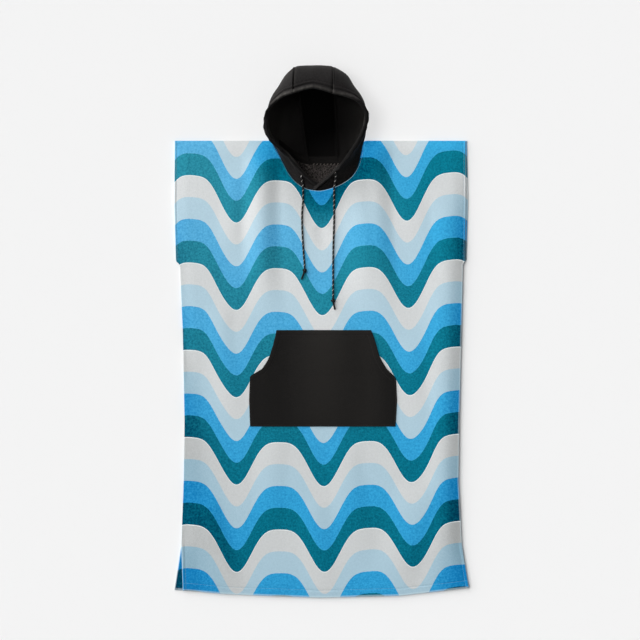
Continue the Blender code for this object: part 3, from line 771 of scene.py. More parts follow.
def panel_outline(across, down, sides, neck, hem):
    """x and y of a panel's grid: y goes straight from the top edge to the hem, x bends to the side edges."""
    nominal = HALF_WIDTH * (2.0 * across - 1.0)
    in_neck = (nominal > neck[0][0]) & (nominal < neck[-1][0])
    top = np.where(in_neck, neck_line(neck, nominal), SHOULDER_Y)
    bottom = read_table(hem, 0, 1, nominal)
    y = top[None, :] * (1.0 - down[:, None]) + bottom[None, :] * down[:, None]
    left = read_table(sides, 0, 1, y)
    right = read_table(sides, 0, 2, y)
    near_side = soft_step((np.abs(nominal) / HALF_WIDTH - BEND_FROM) / (1.0 - BEND_FROM))[None, :]
    x = nominal[None, :] * (1.0 - near_side) + (left + (right - left) * across[None, :]) * near_side
    return x, y, in_neck


# %% How the front lies
FRONT_BILLOW = 2.3  # air between the two panels, away from the seams
SIDE_ROLL = 38.0  # the front rolls down to the side seams over this width,
TOP_ROLL = 26.0  # to the shoulders over this
HEM_ROLL = 30.0  # and to the hem over this
ROLL_START = 0.1  # share of a roll that is already climbed at the seam itself
HEM_AIR = 0.35  # share of the air that is left at the open hem
LOWEST_UNDERSIDE = PANEL_WALL + 0.2

PLAIN_FOLDS = (
    # top x, top y, bottom x, bottom y, half width, lift
    (-115.0, 440.0, -116.0, 60.0, 22.0, -1.7),
    (108.0, 440.0, 150.0, 10.0, 24.0, -1.8),
    (-150.0, 430.0, -150.0, 40.0, 30.0, 1.0),
    (190.0, 440.0, 200.0, 60.0, 34.0, 1.1),
    (-300.0, -20.0, -305.0, -520.0, 30.0, -1.2),
)

CREASES = (
    # crest's top x, top y, bottom x, bottom y, rise width, fall width, height
    (-143.0, 480.0, -138.0, -20.0, 56.0, 48.0, 6.5),
    (126.0, 480.0, 136.0, -10.0, 90.0, 52.0, 9.0),
    (-292.0, -400.0, -212.0, -680.0, 80.0, 44.0, 3.4),
    (262.0, -360.0, 160.0, -680.0, 80.0, 52.0, 3.2),
    (-6.0, 262.0, 12.0, 190.0, 24.0, 24.0, -1.6),
    (-205.0, 400.0, -232.0, 160.0, 40.0, 30.0, 1.5),
    (230.0, 350.0, 262.0, 40.0, 50.0, 34.0, 1.7),
    (-250.0, 80.0, -212.0, -260.0, 46.0, 34.0, 1.5),
    (216.0, 0.0, 246.0, -350.0, 50.0, 38.0, 1.6),
    (60.0, -260.0, 96.0, -580.0, 60.0, 44.0, 1.8),
    (-110.0, -230.0, -138.0, -540.0, 50.0, 46.0, 1.6),
    (-20.0, -400.0, 2.0, -660.0, 50.0, 40.0, 1.4),
)

CREASE_BOW = 0.010  # how far a crest bows to either side, as a share of its length
CREASE_FADE = (0.16, 0.5)  # shares of its length over which it comes up and dies out

HUMP = (300.0, 38.0, 4.6)  # x, half width and height of the swelling along the right side seam
HUMP_ENDS = (-600.0, 380.0)  # y
HUMP_FADE = (120.0, 160.0)


def front_underside(x, y):
    """Height of the front's underside on the plain solid: flat air above the back, rolled down at the seams."""
    left = read_table(FRONT_SIDES, 0, 1, y)
    right = read_table(FRONT_SIDES, 0, 2, y)
    hem = read_table(FRONT_HEM, 0, 1, x)
    rise = soft_step(np.minimum(x - left, right - x) / SIDE_ROLL + ROLL_START)
    rise = rise * soft_step((SHOULDER_Y - y) / TOP_ROLL + ROLL_START)
    rise = rise * (HEM_AIR + (1.0 - HEM_AIR) * soft_step((y - hem) / HEM_ROLL))
    air = np.full(np.shape(x), FRONT_BILLOW)
    for top_x, top_y, bottom_x, bottom_y, half_width, lift in PLAIN_FOLDS:
        along = np.clip((top_y - y) / (top_y - bottom_y), 0.0, 1.0)
        middle = top_x + (bottom_x - top_x) * along
        air = air + lift * bell(x, middle, half_width) * stretch(along, 0.0, 1.0, 0.25, 0.4)
    return PANEL_WALL + SEAM_GAP + np.clip(air, 0.0, None) * rise


def creases(x, y):
    """Sum of the creases: height (1 - t^2)^2 with t the distance from the crest over the width of that flank.

    The crest is straight between its ends but for a slight bow, a share of its length times sin(5 along).
    """
    lift = np.zeros_like(x)
    for top_x, top_y, bottom_x, bottom_y, rise, fall, height in CREASES:
        line = np.array([bottom_x - top_x, bottom_y - top_y])
        reach = np.hypot(*line)
        along = ((x - top_x) * line[0] + (y - top_y) * line[1]) / reach**2
        across = ((y - top_y) * line[0] - (x - top_x) * line[1]) / reach + CREASE_BOW * reach * np.sin(5.0 * along)
        t = np.clip(np.abs(across) / np.where(across < 0.0, rise, fall), 0.0, 1.0)
        lift = lift + height * (1.0 - t**2) ** 2 * stretch(along, 0.0, 1.0, *CREASE_FADE)
    return lift


def hump(x, y):
    """Long soft swelling beside the side seam, where the doubled cloth does not lie quite flat."""
    middle, half_width, height = HUMP
    return height * bell(x, middle, half_width) * stretch(y, *HUMP_ENDS, *HUMP_FADE)


def ripples(x, y):
    """Slight unevenness of laid towelling: three crossing waves of unlike length, a quarter of a millimetre high.

    The first is sin(x / 21 + 1.3 sin(y / 57)) sin(y / 34 + 0.7), the others are plain waves on a slant.
    """
    first = np.sin(x / 21.0 + 1.3 * np.sin(y / 57.0)) * np.sin(y / 34.0 + 0.7)
    second = np.sin((x + 0.6 * y) / 39.0 + 2.0)
    third = np.sin((0.5 * x - y) / 63.0)
    return 0.16 * first + 0.22 * second + 0.25 * third


SLIT_CURL = 2.4  # how far the front's edge stands off the back at the left slit
CURL_ABOVE = 22.0  # it starts this far above the slit
CURL_REACH = 40.0  # and spreads this far down and inwards


def front_lift(x, y, from_left):
    """All that the finished front adds to the plain solid's underside."""
    curl = SLIT_CURL * soft_step((SLIT_Y + CURL_ABOVE - y) / CURL_REACH) * (1.0 - soft_step(from_left / CURL_REACH))
    return creases(x, y) + hump(x, y) + ripples(x, y) + curl


# %% [markdown]
# ## Laying the print
# The print is one continuous repeat across the width, so its map is worked out from where the cloth lies: one
# number counts repeats across, the other repeats down. Laid cloth is never quite square, so the repeat widens a
# little towards the hem, sags by a few millimetres in the middle, and is pulled aside where the cloth was smoothed
# by hand. A cloth simulation would give such pulls too, but not at chosen places.

# %% Print map
REPEAT_DOWN = 213.8  # height of the repeat
REPEAT_TOP = (273.2, 209.2, -0.7)  # y, width of the repeat, x of the middle trough
REPEAT_HEM = (-584.3, 215.3, 6.1)
CREST_Y = 369.0  # y of the white band's upper edge at a crest
SAG = 0.00016  # millimetres down for each square millimetre from the lowest place
SAG_MIDDLE = -35.0

PRINT_PULLS = (
    # middle x, middle y, half width, half height, pull to the right, pull upwards
    (-263.0, -30.0, 34.0, 330.0, -8.5, 0.0),
    (262.0, -260.0, 34.0, 400.0, 8.5, 0.0),
    (0.0, 150.0, 110.0, 230.0, 0.0, -5.0),
    (0.0, 150.0, 45.0, 230.0, 0.0, -5.5),
    (-53.0, 170.0, 30.0, 260.0, -3.5, 0.0),
    (50.0, 60.0, 30.0, 420.0, 4.5, 0.0),
    (200.0, -580.0, 70.0, 130.0, 0.0, 8.0),
    (0.0, -600.0, 60.0, 150.0, 0.0, 5.0),
)


def print_map(x, y):
    """Repeats across from a trough, and repeats down from a crest of the white band.

    The place is first moved back by the pulls, each fading like a bell to all sides.
    """
    moved_x = np.zeros_like(x)
    moved_y = np.zeros_like(x)
    for at_x, at_y, half_width, half_height, right, up in PRINT_PULLS:
        share = bell(x, at_x, half_width) * bell(y, at_y, half_height)
        moved_x = moved_x + right * share
        moved_y = moved_y + up * share
    x = x - moved_x
    y = y - moved_y
    share = (REPEAT_TOP[0] - y) / (REPEAT_TOP[0] - REPEAT_HEM[0])
    width = REPEAT_TOP[1] + (REPEAT_HEM[1] - REPEAT_TOP[1]) * share
    trough = REPEAT_TOP[2] + (REPEAT_HEM[2] - REPEAT_TOP[2]) * share
    crest = CREST_Y + SAG * (x - SAG_MIDDLE) ** 2
    return both_sides((x - trough) / width, (crest - y) / REPEAT_DOWN)


# %% Hems and nap of the panels
BODY_WIDTH = 715.0
BODY_LENGTH = 1115.0
HEM_DEPTH = 19.5
HEM_ROW = 18.5  # distance of the hem's row of stitches from its edge
ARMHOLE_ROW = 5.0
SLIT_ROW = 8.0
HEM_STEP = 0.6  # the doubled cloth of a turned edge stands this far proud
STITCH_SINK = 1.1  # depth of the groove that a row of stitches pulls into the cloth
STITCH_WIDTH = 1.6  # half width of that groove
SEAM_FADE = 8.0  # where a sewn side seam opens into an armhole or a slit


def panel_relief(y, from_hem, from_side, closed):
    """Extra thickness on top: turned hems are higher, rows of stitches are sunk."""
    relief = HEM_STEP * (1.0 - soft_step((from_hem - HEM_DEPTH) / 2.0))
    relief = relief - STITCH_SINK * bell(from_hem, HEM_ROW, STITCH_WIDTH)
    row = np.where(y > 0.0, ARMHOLE_ROW, SLIT_ROW)
    side = HEM_STEP * (1.0 - soft_step((from_side - row) / 1.5))
    side = side - STITCH_SINK * bell(from_side, row, STITCH_WIDTH)
    return relief + side * (1.0 - closed)


def closed_sides(y):
    """1 along the sewn side seams, 0 along the open armholes and slits."""
    return stretch(y, SLIT_Y, ARMHOLE_END_Y, SEAM_FADE, SEAM_FADE)


# %% [markdown]
# ## Painted shade and sheen of the towelling
# The towelling's colour carries painted light and shade: painted shade grows towards the hem, along the side edges,
# towards the lower left corner, along the neck beside the hood and on fold flanks that face away from the upper
# left, and is less in the middle of the chest; a painted sheen veils the upper left. Turned edges show a pale line.
# Each of these is a soft hill in the pattern's own millimetres, kept in the mesh's maps, so it stays on the cloth
# in every view.

# %% Maps of painted shade and sheen
# Painted shade: share of the shade colour at the shoulder and at the hem, so the cloth darkens towards the bottom.
SHADE_TOP = 0.18
SHADE_HEM = 0.48
SHADE_LEAN = 0.6  # gain of the painted shade for each unit of slope to the right, on flanks that face away from the light
SHADE_LEFT = 0.5  # painted shade along the left side seam, which spreads out into the lower left corner
SHADE_ARMHOLE = 0.3  # painted shade along the left armhole
SHADE_RIGHT = 0.5  # painted shade along the right edge
SHADE_CHEST_LOSS = 0.12  # less painted shade in the middle of the chest
# Painted sheen, a pale veil over the two strong colours at the upper left.
SHEEN_LEAST = 0.08
SHEEN_FROM = -150.0  # x where the painted sheen begins to thin out to the right
SHEEN_REACH = (420.0, 140.0)  # millimetres over which it thins out, and how much further at mid height
SHEEN_DOWN = (-450.0, 800.0)  # y where there is none left, and the height over which it comes up
NECK_SHADE = 0.62  # painted shade along the neck edge, beside the hood
NECK_REACH = 58.0
NECK_FADE = 90.0  # millimetres to the left of the middle over which half of that is lost
NO_PALE_EDGE = 9.0  # added distance, in millimetres, that keeps an edge from showing the pale line
BACK_SHADE = 0.6  # share of the back panel's least painted shade that is left on its right half
DRIFT_DOWN = (150.0, 650.0)  # y where a panel's print begins to drift, and the height over which it does


def painted_shade_value(grid):
    """Share of the painted shade colour, 0 to 1.

    It grows from the shoulder to the hem, along the right edge and the left armhole, towards the lower left corner,
    and where a fold's flank falls to the right, away from the light from the upper left; the middle of the chest
    gets less.
    """
    x, y = grid[..., 0], grid[..., 1]
    down = np.clip((SHOULDER_Y - y) / BODY_LENGTH, 0.0, 1.0)
    value = SHADE_TOP + (SHADE_HEM - SHADE_TOP) * down
    low = np.clip((40.0 - y) / 560.0, 0.0, 1.0)
    left = SHADE_LEFT * bell(x, -352.0, 18.0 + 95.0 * low) * soft_step(3.0 * low + 0.2)
    armhole = SHADE_ARMHOLE * bell(x, -356.0, 30.0) * soft_step((330.0 - y) / 150.0)
    right = SHADE_RIGHT * bell(x, 352.0, 28.0 + 34.0 * low) * soft_step((440.0 - y) / 200.0)
    chest_loss = SHADE_CHEST_LOSS * bell(x, 10.0, 130.0) * bell(y, 110.0, 150.0)
    normal = surface_normal(grid, 1)
    return np.clip(value + np.maximum(left, armhole) + right - chest_loss + SHADE_LEAN * normal[..., 0], 0.0, 1.0)


def painted_sheen_value(x, y):
    """Share of painted sheen that veils the two strong colours: most at the upper left, little beyond the middle.
    """
    reach = SHEEN_REACH[0] + SHEEN_REACH[1] * bell(y, 50.0, 220.0)
    here = (1.0 - soft_step((x - SHEEN_FROM) / reach)) * soft_step((y - SHEEN_DOWN[0]) / SHEEN_DOWN[1])
    return SHEEN_LEAST + (1.0 - SHEEN_LEAST) * here


def pale_edge_distance(x, flat, closed, pale_neck):
    """Distance from a turned edge in millimetres, longer where an edge shows less of the pale line.

    The left side counts only along its armhole and slit, the right side all the way, and the shoulders not at all.
    Along the right side seam the pale line is widened as a painted highlight over the shade of the rolled rim.
    """
    from_side = np.minimum(flat[2], flat[3])
    side = np.where(x < 0.0, 1.4 * from_side + closed * NO_PALE_EDGE, (1.4 - 0.75 * closed) * from_side)
    top = 1.7 * flat[0] + (1.0 - pale_neck[None, :]) * NO_PALE_EDGE
    return np.minimum.reduce([side, top, 0.5 * flat[1]])


# %% A whole panel
def panel_grid(pattern, across, down, underside):
    """Middle of a panel's wall, with its distances from every edge and where its sides are sewn."""
    x, y, in_neck = panel_outline(across, down, *pattern)
    flat = edge_distances(np.stack([x, y, np.zeros_like(x)], axis=-1))
    grid = np.stack([x, y, underside(x, y, flat[2]) + PANEL_WALL / 2.0], axis=-1)
    return grid, flat, closed_sides(y), in_neck


def add_panel(
    name, node_name, pattern, across, down, underside, shift=0.0, least_shade=0.0, edge_share=1.0
):
    """One panel from its pattern of sides, neck and hem.

    Its print drifts by a share of the repeat, its painted shade is never below the least, and its pale edge lines
    widen as the share shrinks. The neck edge shows the pale line only on the panel whose print does not drift, the
    front.
    """
    grid, flat, closed, in_neck = panel_grid(pattern, across, down, underside)
    x, y = grid[..., 0], grid[..., 1]
    half = PANEL_WALL / 2.0 * rounding(flat)
    relief = panel_relief(y, flat[1], np.minimum(flat[2], flat[3]), closed)
    # The back shows only in narrow strips beyond the front; its least share is painted shade there.
    least = np.where(x < 0.0, least_shade, BACK_SHADE * least_shade)
    # Painted shade along the neck beside the hood, where the painted sheen is also taken away.
    beside_hood = bell(distance_to(x, y, np.array(FRONT_NECK)), 0.0, NECK_REACH)
    hood_shade = beside_hood * NECK_SHADE * (1.0 - 0.5 * soft_step(-x / NECK_FADE))
    shade_and_mottle = np.clip(np.maximum(painted_shade_value(grid), least) + hood_shade, 0.0, 1.0)
    pale = pale_edge_distance(x, flat, closed, in_neck & (shift == 0.0)) * edge_share
    drift = shift * soft_step((DRIFT_DOWN[0] - y) / DRIFT_DOWN[1])
    maps = {
        "print": print_map(x, y) + both_sides(np.zeros_like(x), drift),
        "edge": both_sides(pale * MM, shade_and_mottle),
        "painted_sheen": both_sides(painted_sheen_value(x, y) * (1.0 - beside_hood) ** 2, 0.0),
    }
    over = half + relief * rounding(flat, 0.0)
    upper, _ = add_sheet(name, node_name, grid, over, half, maps, towelling)
    return upper, flat


# %% Back and front
def back_underside(x, y, from_left):
    """The back lies on the floor."""
    return np.zeros_like(x)


def finished_front(x, y, from_left):
    """Plain solid and creases, never lower than the back's upper face."""
    return np.maximum(front_underside(x, y) + front_lift(x, y, from_left), LOWEST_UNDERSIDE)


add_panel(
    "back_towelling", "back_panel", (BACK_SIDES, BACK_NECK, BACK_HEM), steps(BODY_WIDTH, 10.0, 11.0, 11.0),
    steps(BODY_LENGTH, 10.0, 6.0, 28.0), back_underside, 0.25, 0.9, 0.8,
)
front_upper, front_flat = add_panel(
    "front_towelling", "front_panel", (FRONT_SIDES, FRONT_NECK, FRONT_HEM), steps(BODY_WIDTH, 4.5, 11.0, 11.0),
    steps(BODY_LENGTH, 4.6, 6.0, 30.0), finished_front,
)
front_normals = surface_normal(front_upper, 1)

# %% [markdown]
# ## Stitches of the body
# A lockstitch holds every turned edge: one row along the hem, and one along each armhole and slit. The rows are
# found on the finished upper face, at the same distances from the edges at which the cloth was sunk for them.

# %% Body stitches
BODY_PITCH = 3.6
BODY_STITCH = 2.7
THREAD = 0.7
ROW_STOP = 4.0  # a row stops this far before its edge's end
SLIT_ROW_END = -634.0  # and here above the hem


def turned(values):
    """The same grid with rows and columns exchanged."""
    return np.swapaxes(values, 0, 1)


def part_of(line, keep):
    """The points and normals of a line where `keep` holds."""
    points, normals = line
    chosen = keep(points[:, 1])
    return points[chosen], normals[chosen]


hem_lines = [inset_line(front_upper[::-1], front_flat[1][::-1], HEM_ROW, front_normals[::-1])]
side_lines = []
for distance, flip in ((front_flat[2], 1), (front_flat[3], -1)):
    face = turned(front_upper)[::flip]
    normals = turned(front_normals)[::flip]
    walked_in = turned(distance)[::flip]
    arm = inset_line(face, walked_in, ARMHOLE_ROW, normals)
    slit = inset_line(face, walked_in, SLIT_ROW, normals)
    side_lines.append(part_of(arm, lambda y: (y > ARMHOLE_END_Y + ROW_STOP) & (y < SHOULDER_Y - ROW_STOP)))
    side_lines.append(part_of(slit, lambda y: (y < SLIT_Y - ROW_STOP) & (y > SLIT_ROW_END)))
add_stitches("body_stitches", hem_lines + side_lines, BODY_PITCH, BODY_STITCH, THREAD, pale_thread, "towelling")

# %% [markdown]
# ## Hood
# The hood is a centre strip from the brow over the crown to the nape, with a side panel on either side. The strip's
# profile is half an ellipse, then a level run. A side panel blends from its hem to its bottom edge, and borrows
# the strip's curl near the crown. A casing for the drawcord is folded along the whole hem, so the wall is
# fuller there, with a plump edge and a sunk row of stitches. Such a blend of two edge curves keeps the seams
# exactly where the pattern has them, which a simulated or sculpted hood would not.

# %% Pattern of the hood
HOOD_WALL = 2.5
CROWN_CENTRE_Y = 590.0
CROWN_REACH = 53.5  # half the ellipse's length, and below its whole height
CROWN_HEIGHT = 121.0
CROWN_SHARE = 0.55  # share of the strip's rows that the ellipse takes
STRIP_BRIM = (-71.5, 27.0)  # left and right x of the strip at the brim
STRIP_NECK = (-32.5, 39.0)  # and at the neck
STRIP_TAPER = 1.6  # power with which it goes from the one to the other
BRIM_LEFT_Y = 574.0
BRIM_MIDDLE_Y = 586.0
BRIM_RIGHT_Y = 573.5
BRIM_PEAK = 1.45  # 2 would make the brim a parabola, 1 a corner
NECK_SETBACK = 1.8  # from the body's neck edge to the hood's bottom edge, inside the opening
HOOD_DROP = 1.9  # power with which a side panel falls from its hem to its bottom edge
CROWN_FADE = 2.8  # power with which the strip's curl fades towards the crossing
BACK_NECK_MIDDLE_Y = BACK_NECK[5][1]

LEFT_HEM = (
    # x, y, z
    (-71.5, 574.0, 119.5),
    (-92.5, 567.5, 111.0),
    (-111.5, 554.5, 103.0),
    (-126.0, 539.5, 98.0),
    (-135.0, 514.0, 96.0),
    (-135.0, 489.0, 93.0),
    (-124.0, 467.0, 87.0),
    (-103.5, 450.5, 77.0),
    (-84.0, 433.0, 64.0),
    (-68.0, 414.0, 49.0),
    (-49.5, 393.5, 34.0),
    (-26.5, 373.0, 21.5),
    (0.0, 361.5, 14.5),
    (28.0, 359.0, 11.0),
)

RIGHT_HEM = (
    # x, y, z
    (27.0, 573.5, 119.5),
    (55.5, 567.0, 115.5),
    (82.0, 557.0, 111.0),
    (98.5, 542.0, 107.0),
    (107.5, 521.0, 103.0),
    (104.0, 495.0, 99.0),
    (89.5, 464.5, 87.0),
    (70.5, 438.5, 70.0),
    (52.5, 417.5, 54.0),
    (33.0, 398.5, 40.0),
    (7.5, 375.0, 29.0),
    (-20.0, 353.0, 20.0),
)

LEFT_SEAM_HEIGHT = (
    # x, z
    (28.0, 8.3),
    (-30.0, 8.0),
    (-105.0, 7.5),
)

RIGHT_SEAM_HEIGHT = (
    # x, z
    (-20.0, 14.5),
    (30.0, 13.5),
    (55.0, 9.0),
    (78.0, 8.9),
    (100.0, 7.5),
)

LEFT_TURN = (
    # x, y, z
    (-112.5, 449.0, 6.8),
    (-114.5, 457.0, 5.5),
    (-108.5, 459.5, 4.0),
    (-99.0, 454.0, 1.8),
)

RIGHT_TURN = (
    # x, y, z
    (98.0, 449.0, 6.8),
    (96.0, 457.0, 5.5),
    (90.0, 459.0, 4.0),
    (82.0, 452.5, 1.8),
)


def strip_grid(along, across):
    """Centre strip: `along` runs from brim to neck and `across` from the left seam to the right one.

    Up to the crown's share the profile is y = centre + reach cos a, z = low + half height (1 + sin a), with a
    going from the brim's angle to straight down; from there y goes on level to the back neck.
    """
    narrowed = along**STRIP_TAPER
    left = STRIP_BRIM[0] + (STRIP_NECK[0] - STRIP_BRIM[0]) * narrowed
    right = STRIP_BRIM[1] + (STRIP_NECK[1] - STRIP_BRIM[1]) * narrowed
    x = left[:, None] + (right - left)[:, None] * across[None, :]
    side = BRIM_LEFT_Y + (BRIM_RIGHT_Y - BRIM_LEFT_Y) * across
    peak = BRIM_MIDDLE_Y - (BRIM_LEFT_Y + BRIM_RIGHT_Y) / 2.0
    brim = side + peak * (1.0 - np.abs(2.0 * across - 1.0) ** BRIM_PEAK)
    low = HOOD_WALL / 2.0
    share = along[:, None]
    start = np.arccos(np.clip((brim - CROWN_CENTRE_Y) / CROWN_REACH, -1.0, 1.0))[None, :]
    angle = start - (np.pi / 2.0 + start) * np.clip(share / CROWN_SHARE, 0.0, 1.0)
    level = np.clip((share - CROWN_SHARE) / (1.0 - CROWN_SHARE), 0.0, 1.0)
    y = CROWN_CENTRE_Y + CROWN_REACH * np.cos(angle) * (share < CROWN_SHARE)
    y = y + (BACK_NECK_MIDDLE_Y + NECK_SETBACK - CROWN_CENTRE_Y) * level
    z = low + (CROWN_HEIGHT / 2.0 - low) * (1.0 + np.sin(angle))
    return np.stack(np.broadcast_arrays(x, y, z), axis=-1)


CLEAR_OF_ENDS = 4.0


def between(table, start_x, end_x, outward):
    """x of the rows well between two places, from the middle of the neck outwards."""
    low = start_x * outward + CLEAR_OF_ENDS
    high = end_x * outward - CLEAR_OF_ENDS
    found = [row[0] for row in table if low < row[0] * outward < high]
    return sorted(found, key=lambda x: x * outward)


def bottom_edge(side):
    """Route of a side panel's bottom edge: front neck seam, turn at the shoulder, back neck seam."""
    outward = (-1.0, 1.0)[side]
    heights = (LEFT_SEAM_HEIGHT, RIGHT_SEAM_HEIGHT)[side]
    turn = (LEFT_TURN, RIGHT_TURN)[side]
    start_x = heights[0][0]
    middle = np.array([(STRIP_NECK[0] + STRIP_NECK[1]) / 2.0, SHOULDER_Y])
    points = []
    for x in [start_x] + between(FRONT_NECK, start_x, turn[0][0], outward):
        on_seam = np.array([x, float(neck_line(FRONT_NECK, x))])
        inward = (middle - on_seam) / np.linalg.norm(middle - on_seam)
        points.append((*(on_seam + inward * NECK_SETBACK), float(read_table(heights, 0, 1, x))))
    points.extend(turn)
    for x in between(BACK_NECK, STRIP_NECK[side], turn[-1][0], outward)[::-1] + [STRIP_NECK[side]]:
        points.append((x, float(neck_line(BACK_NECK, x)) + NECK_SETBACK, HOOD_WALL / 2.0))
    return points


FINE_COUNT = 1200  # points on the two edge curves before they are read at the grid's columns


def side_grid(side, along, around):
    """Side panel [hem to bottom edge, crossing to strip].

    Point = k hem + (1 - k) bottom + s^fade curl, where k = (1 - share) in plan and its power in height, s is the
    share of the way from the crossing to the strip, and curl is how far the strip's seam lies from that blend.
    """
    hem_table = (LEFT_HEM, RIGHT_HEM)[side]
    seam = strip_grid(along, np.array([0.0, 1.0]))[:, side]
    hem = smooth_curve(hem_table[::-1], FINE_COUNT)
    bottom = smooth_curve(bottom_edge(side), FINE_COUNT)
    wanted = around * (FINE_COUNT - 1)
    at = np.arange(FINE_COUNT)
    hem = np.stack([np.interp(wanted, at, hem[:, axis]) for axis in range(3)], axis=1)
    bottom = np.stack([np.interp(wanted, at, bottom[:, axis]) for axis in range(3)], axis=1)
    hem[-1] = seam[0]
    bottom[-1] = seam[-1]
    to_hem = (1.0 - along)[:, None, None] ** np.array([1.0, 1.0, HOOD_DROP])
    curl = seam[:, None] - to_hem * hem[-1] - (1.0 - to_hem) * bottom[-1]
    grid = to_hem * hem[None] + (1.0 - to_hem) * bottom[None] + around[None, :, None] ** CROWN_FADE * curl
    grid[..., 2] = np.maximum(grid[..., 2], HOOD_WALL / 2.0)
    return grid


# %% Soft dents of the hood
DENTS = (
    # panel, middle across or around, middle along, half width, half length, height
    ("left", 0.50, 0.55, 0.050, 0.30, 2.2),
    ("left", 0.36, 0.60, 0.045, 0.28, -1.8),
    ("left", 0.70, 0.45, 0.050, 0.25, -1.6),
    ("left", 0.78, 0.20, 0.060, 0.10, 1.4),
    ("left", 0.93, 0.70, 0.035, 0.22, 2.0),
    ("right", 0.46, 0.50, 0.045, 0.28, -2.0),
    ("right", 0.58, 0.58, 0.050, 0.26, 2.2),
    ("right", 0.76, 0.40, 0.050, 0.25, 1.6),
    ("right", 0.88, 0.20, 0.050, 0.09, -1.2),
    ("right", 0.915, 0.37, 0.065, 0.17, 10.5),
    ("right", 0.64, 0.58, 0.09, 0.20, 6.5),
    ("left", 0.60, 0.60, 0.08, 0.18, 5.5),
    ("left", 0.93, 0.33, 0.05, 0.14, 3.5),
    ("left", 0.57, 0.40, 0.09, 0.35, 5.5),
    ("left", 0.47, 0.30, 0.06, 0.26, 4.5),
    ("centre", 0.30, 0.84, 0.080, 0.14, 2.4),
    ("centre", 0.68, 0.80, 0.070, 0.16, 2.0),
    ("centre", 0.50, 0.40, 0.400, 0.30, 4.0),
    ("centre", 0.45, 0.24, 0.140, 0.05, -1.4),
    ("centre", 0.72, 0.12, 0.180, 0.06, -0.9),
)


def dents(panel, along, around):
    """Sum of the panel's soft dents: height exp(-(across / half width)^2 - (down / half length)^2).

    They fade out at the side panels' seam with the centre strip, so that both sides of it stay together.
    """
    lift = np.zeros((len(along), len(around)))
    for name, middle, down, half_width, half_length, height in DENTS:
        if name == panel:
            fade = stretch(around, 0.0, 1.0, 0.1, 0.1) if panel == "centre" else soft_step((1.0 - around) / 0.03)
            across = bell(around, middle, half_width) * fade
            lift = lift + height * bell(along, down, half_length)[:, None] * across[None, :]
    return lift


# %% Casing of the drawcord
CASING_ROW = 21.0
ROLL_CREST = 4.5  # the rope-like edge that the drawcord fills is highest this far in
ROLL_WIDTH = 11.5
ROLL_HEIGHT = 4.6
ROLL_CREASE = (13.0, 2.4, 2.2)  # distance, depth and half width of the crease behind the roll
ROLL_PUCKER = 0.24  # unevenness of the roll, as a share of its height
PUCKER_WAVES = (3.9, 11.0)  # millimetres of hem for one radian of each wave that makes it
CASING_STEP = 0.5
CASING_SINK = (1.3, 1.8)  # depth and half width of the groove along its stitches


def casing(from_hem, along_hem):
    """Extra thickness of the casing.

    A puckered roll, round at the edge and falling like a cosine behind its crest, a low step, and sunk stitches.
    """
    outer = np.sqrt(np.clip(1.0 - (from_hem / ROLL_CREST - 1.0) ** 2, 0.0, None))
    share = np.clip((from_hem - ROLL_CREST) / (ROLL_WIDTH - ROLL_CREST), 0.0, 1.0)
    roll = np.where(from_hem < ROLL_CREST, outer, 0.5 + 0.5 * np.cos(np.pi * share))
    waves = np.sin(along_hem / PUCKER_WAVES[0]) * np.sin(along_hem / PUCKER_WAVES[1] + 1.0)
    pucker = 1.0 + ROLL_PUCKER * waves
    step = CASING_STEP * (1.0 - soft_step((from_hem - CASING_ROW) / 3.0))
    crease = ROLL_CREASE[1] * bell(from_hem, ROLL_CREASE[0], ROLL_CREASE[2])
    return ROLL_HEIGHT * roll * pucker + step - crease - CASING_SINK[0] * bell(from_hem, CASING_ROW, CASING_SINK[1])


# %% [markdown]
# ## Painted light on the hood
# The hood's colour carries painted light and shade. A grey painted highlight lies in patches along the plump edge
# over the brow, on the casing low down at the crossing, on the left flank beside the crown and on the cloth that
# bulges beside the crown's seams. Painted shade darkens the crease behind the casing and the side panels' rim. The
# inner side is a blacker painted shade colour, darkest deep in the hood and lightened by painted light where it
# turns up towards the opening. All of it goes into one map: its first number mixes in the blacker inner colour and
# its second the painted highlight.

# %% Painted light and shade of the jersey
ROLL_HIGHLIGHT = (5.5, 4.0)  # distance from the hem and half width of the painted highlight on the roll
ROLL_PATCHES = 0.7  # unevenness of that highlight along the hem
PATCH_WAVES = (2.3, 7.1)
LOW_HIGHLIGHT = 0.5  # painted highlight on the casing where the two ends come down to the crossing
LOW_HIGHLIGHT_BAND = (10.0, 7.0)
FLANK_HIGHLIGHT = 0.12  # painted highlight on the left panel beside the crown
SEAM_HIGHLIGHT = 0.14  # painted highlight on the cloth beside the crown's seams
SEAM_HIGHLIGHT_BAND = (5.5, 2.6)
CREASE_SHADE = 0.85  # painted shade in the crease of the casing near the crossing
CREASE_BAND = (19.0, 3.4)
RIM_SHADE = 0.8  # painted shade on the side panels' rim, on both faces
RIM_WIDTH = 9.0
RIM_FROM = {"left": 0.38, "right": 0.2}  # share of the way from the crossing to the strip where it begins
INNER_LIT = 0.95  # painted light: how much less dark the inner side is where it turns up towards the opening
INNER_LIT_BAND = (0.52, 0.34)  # middle and half width of that stretch, as shares of the way
HIGHLIGHT_SIDE = (0.06, 0.1)  # painted highlight left down the sides of the face opening, on the left and the right panel
HIGHLIGHT_BROW = (0.62, 0.36)  # and at the brow
BROW_FROM = (0.78, 0.8)  # share of the way from which it grows from the one to the other


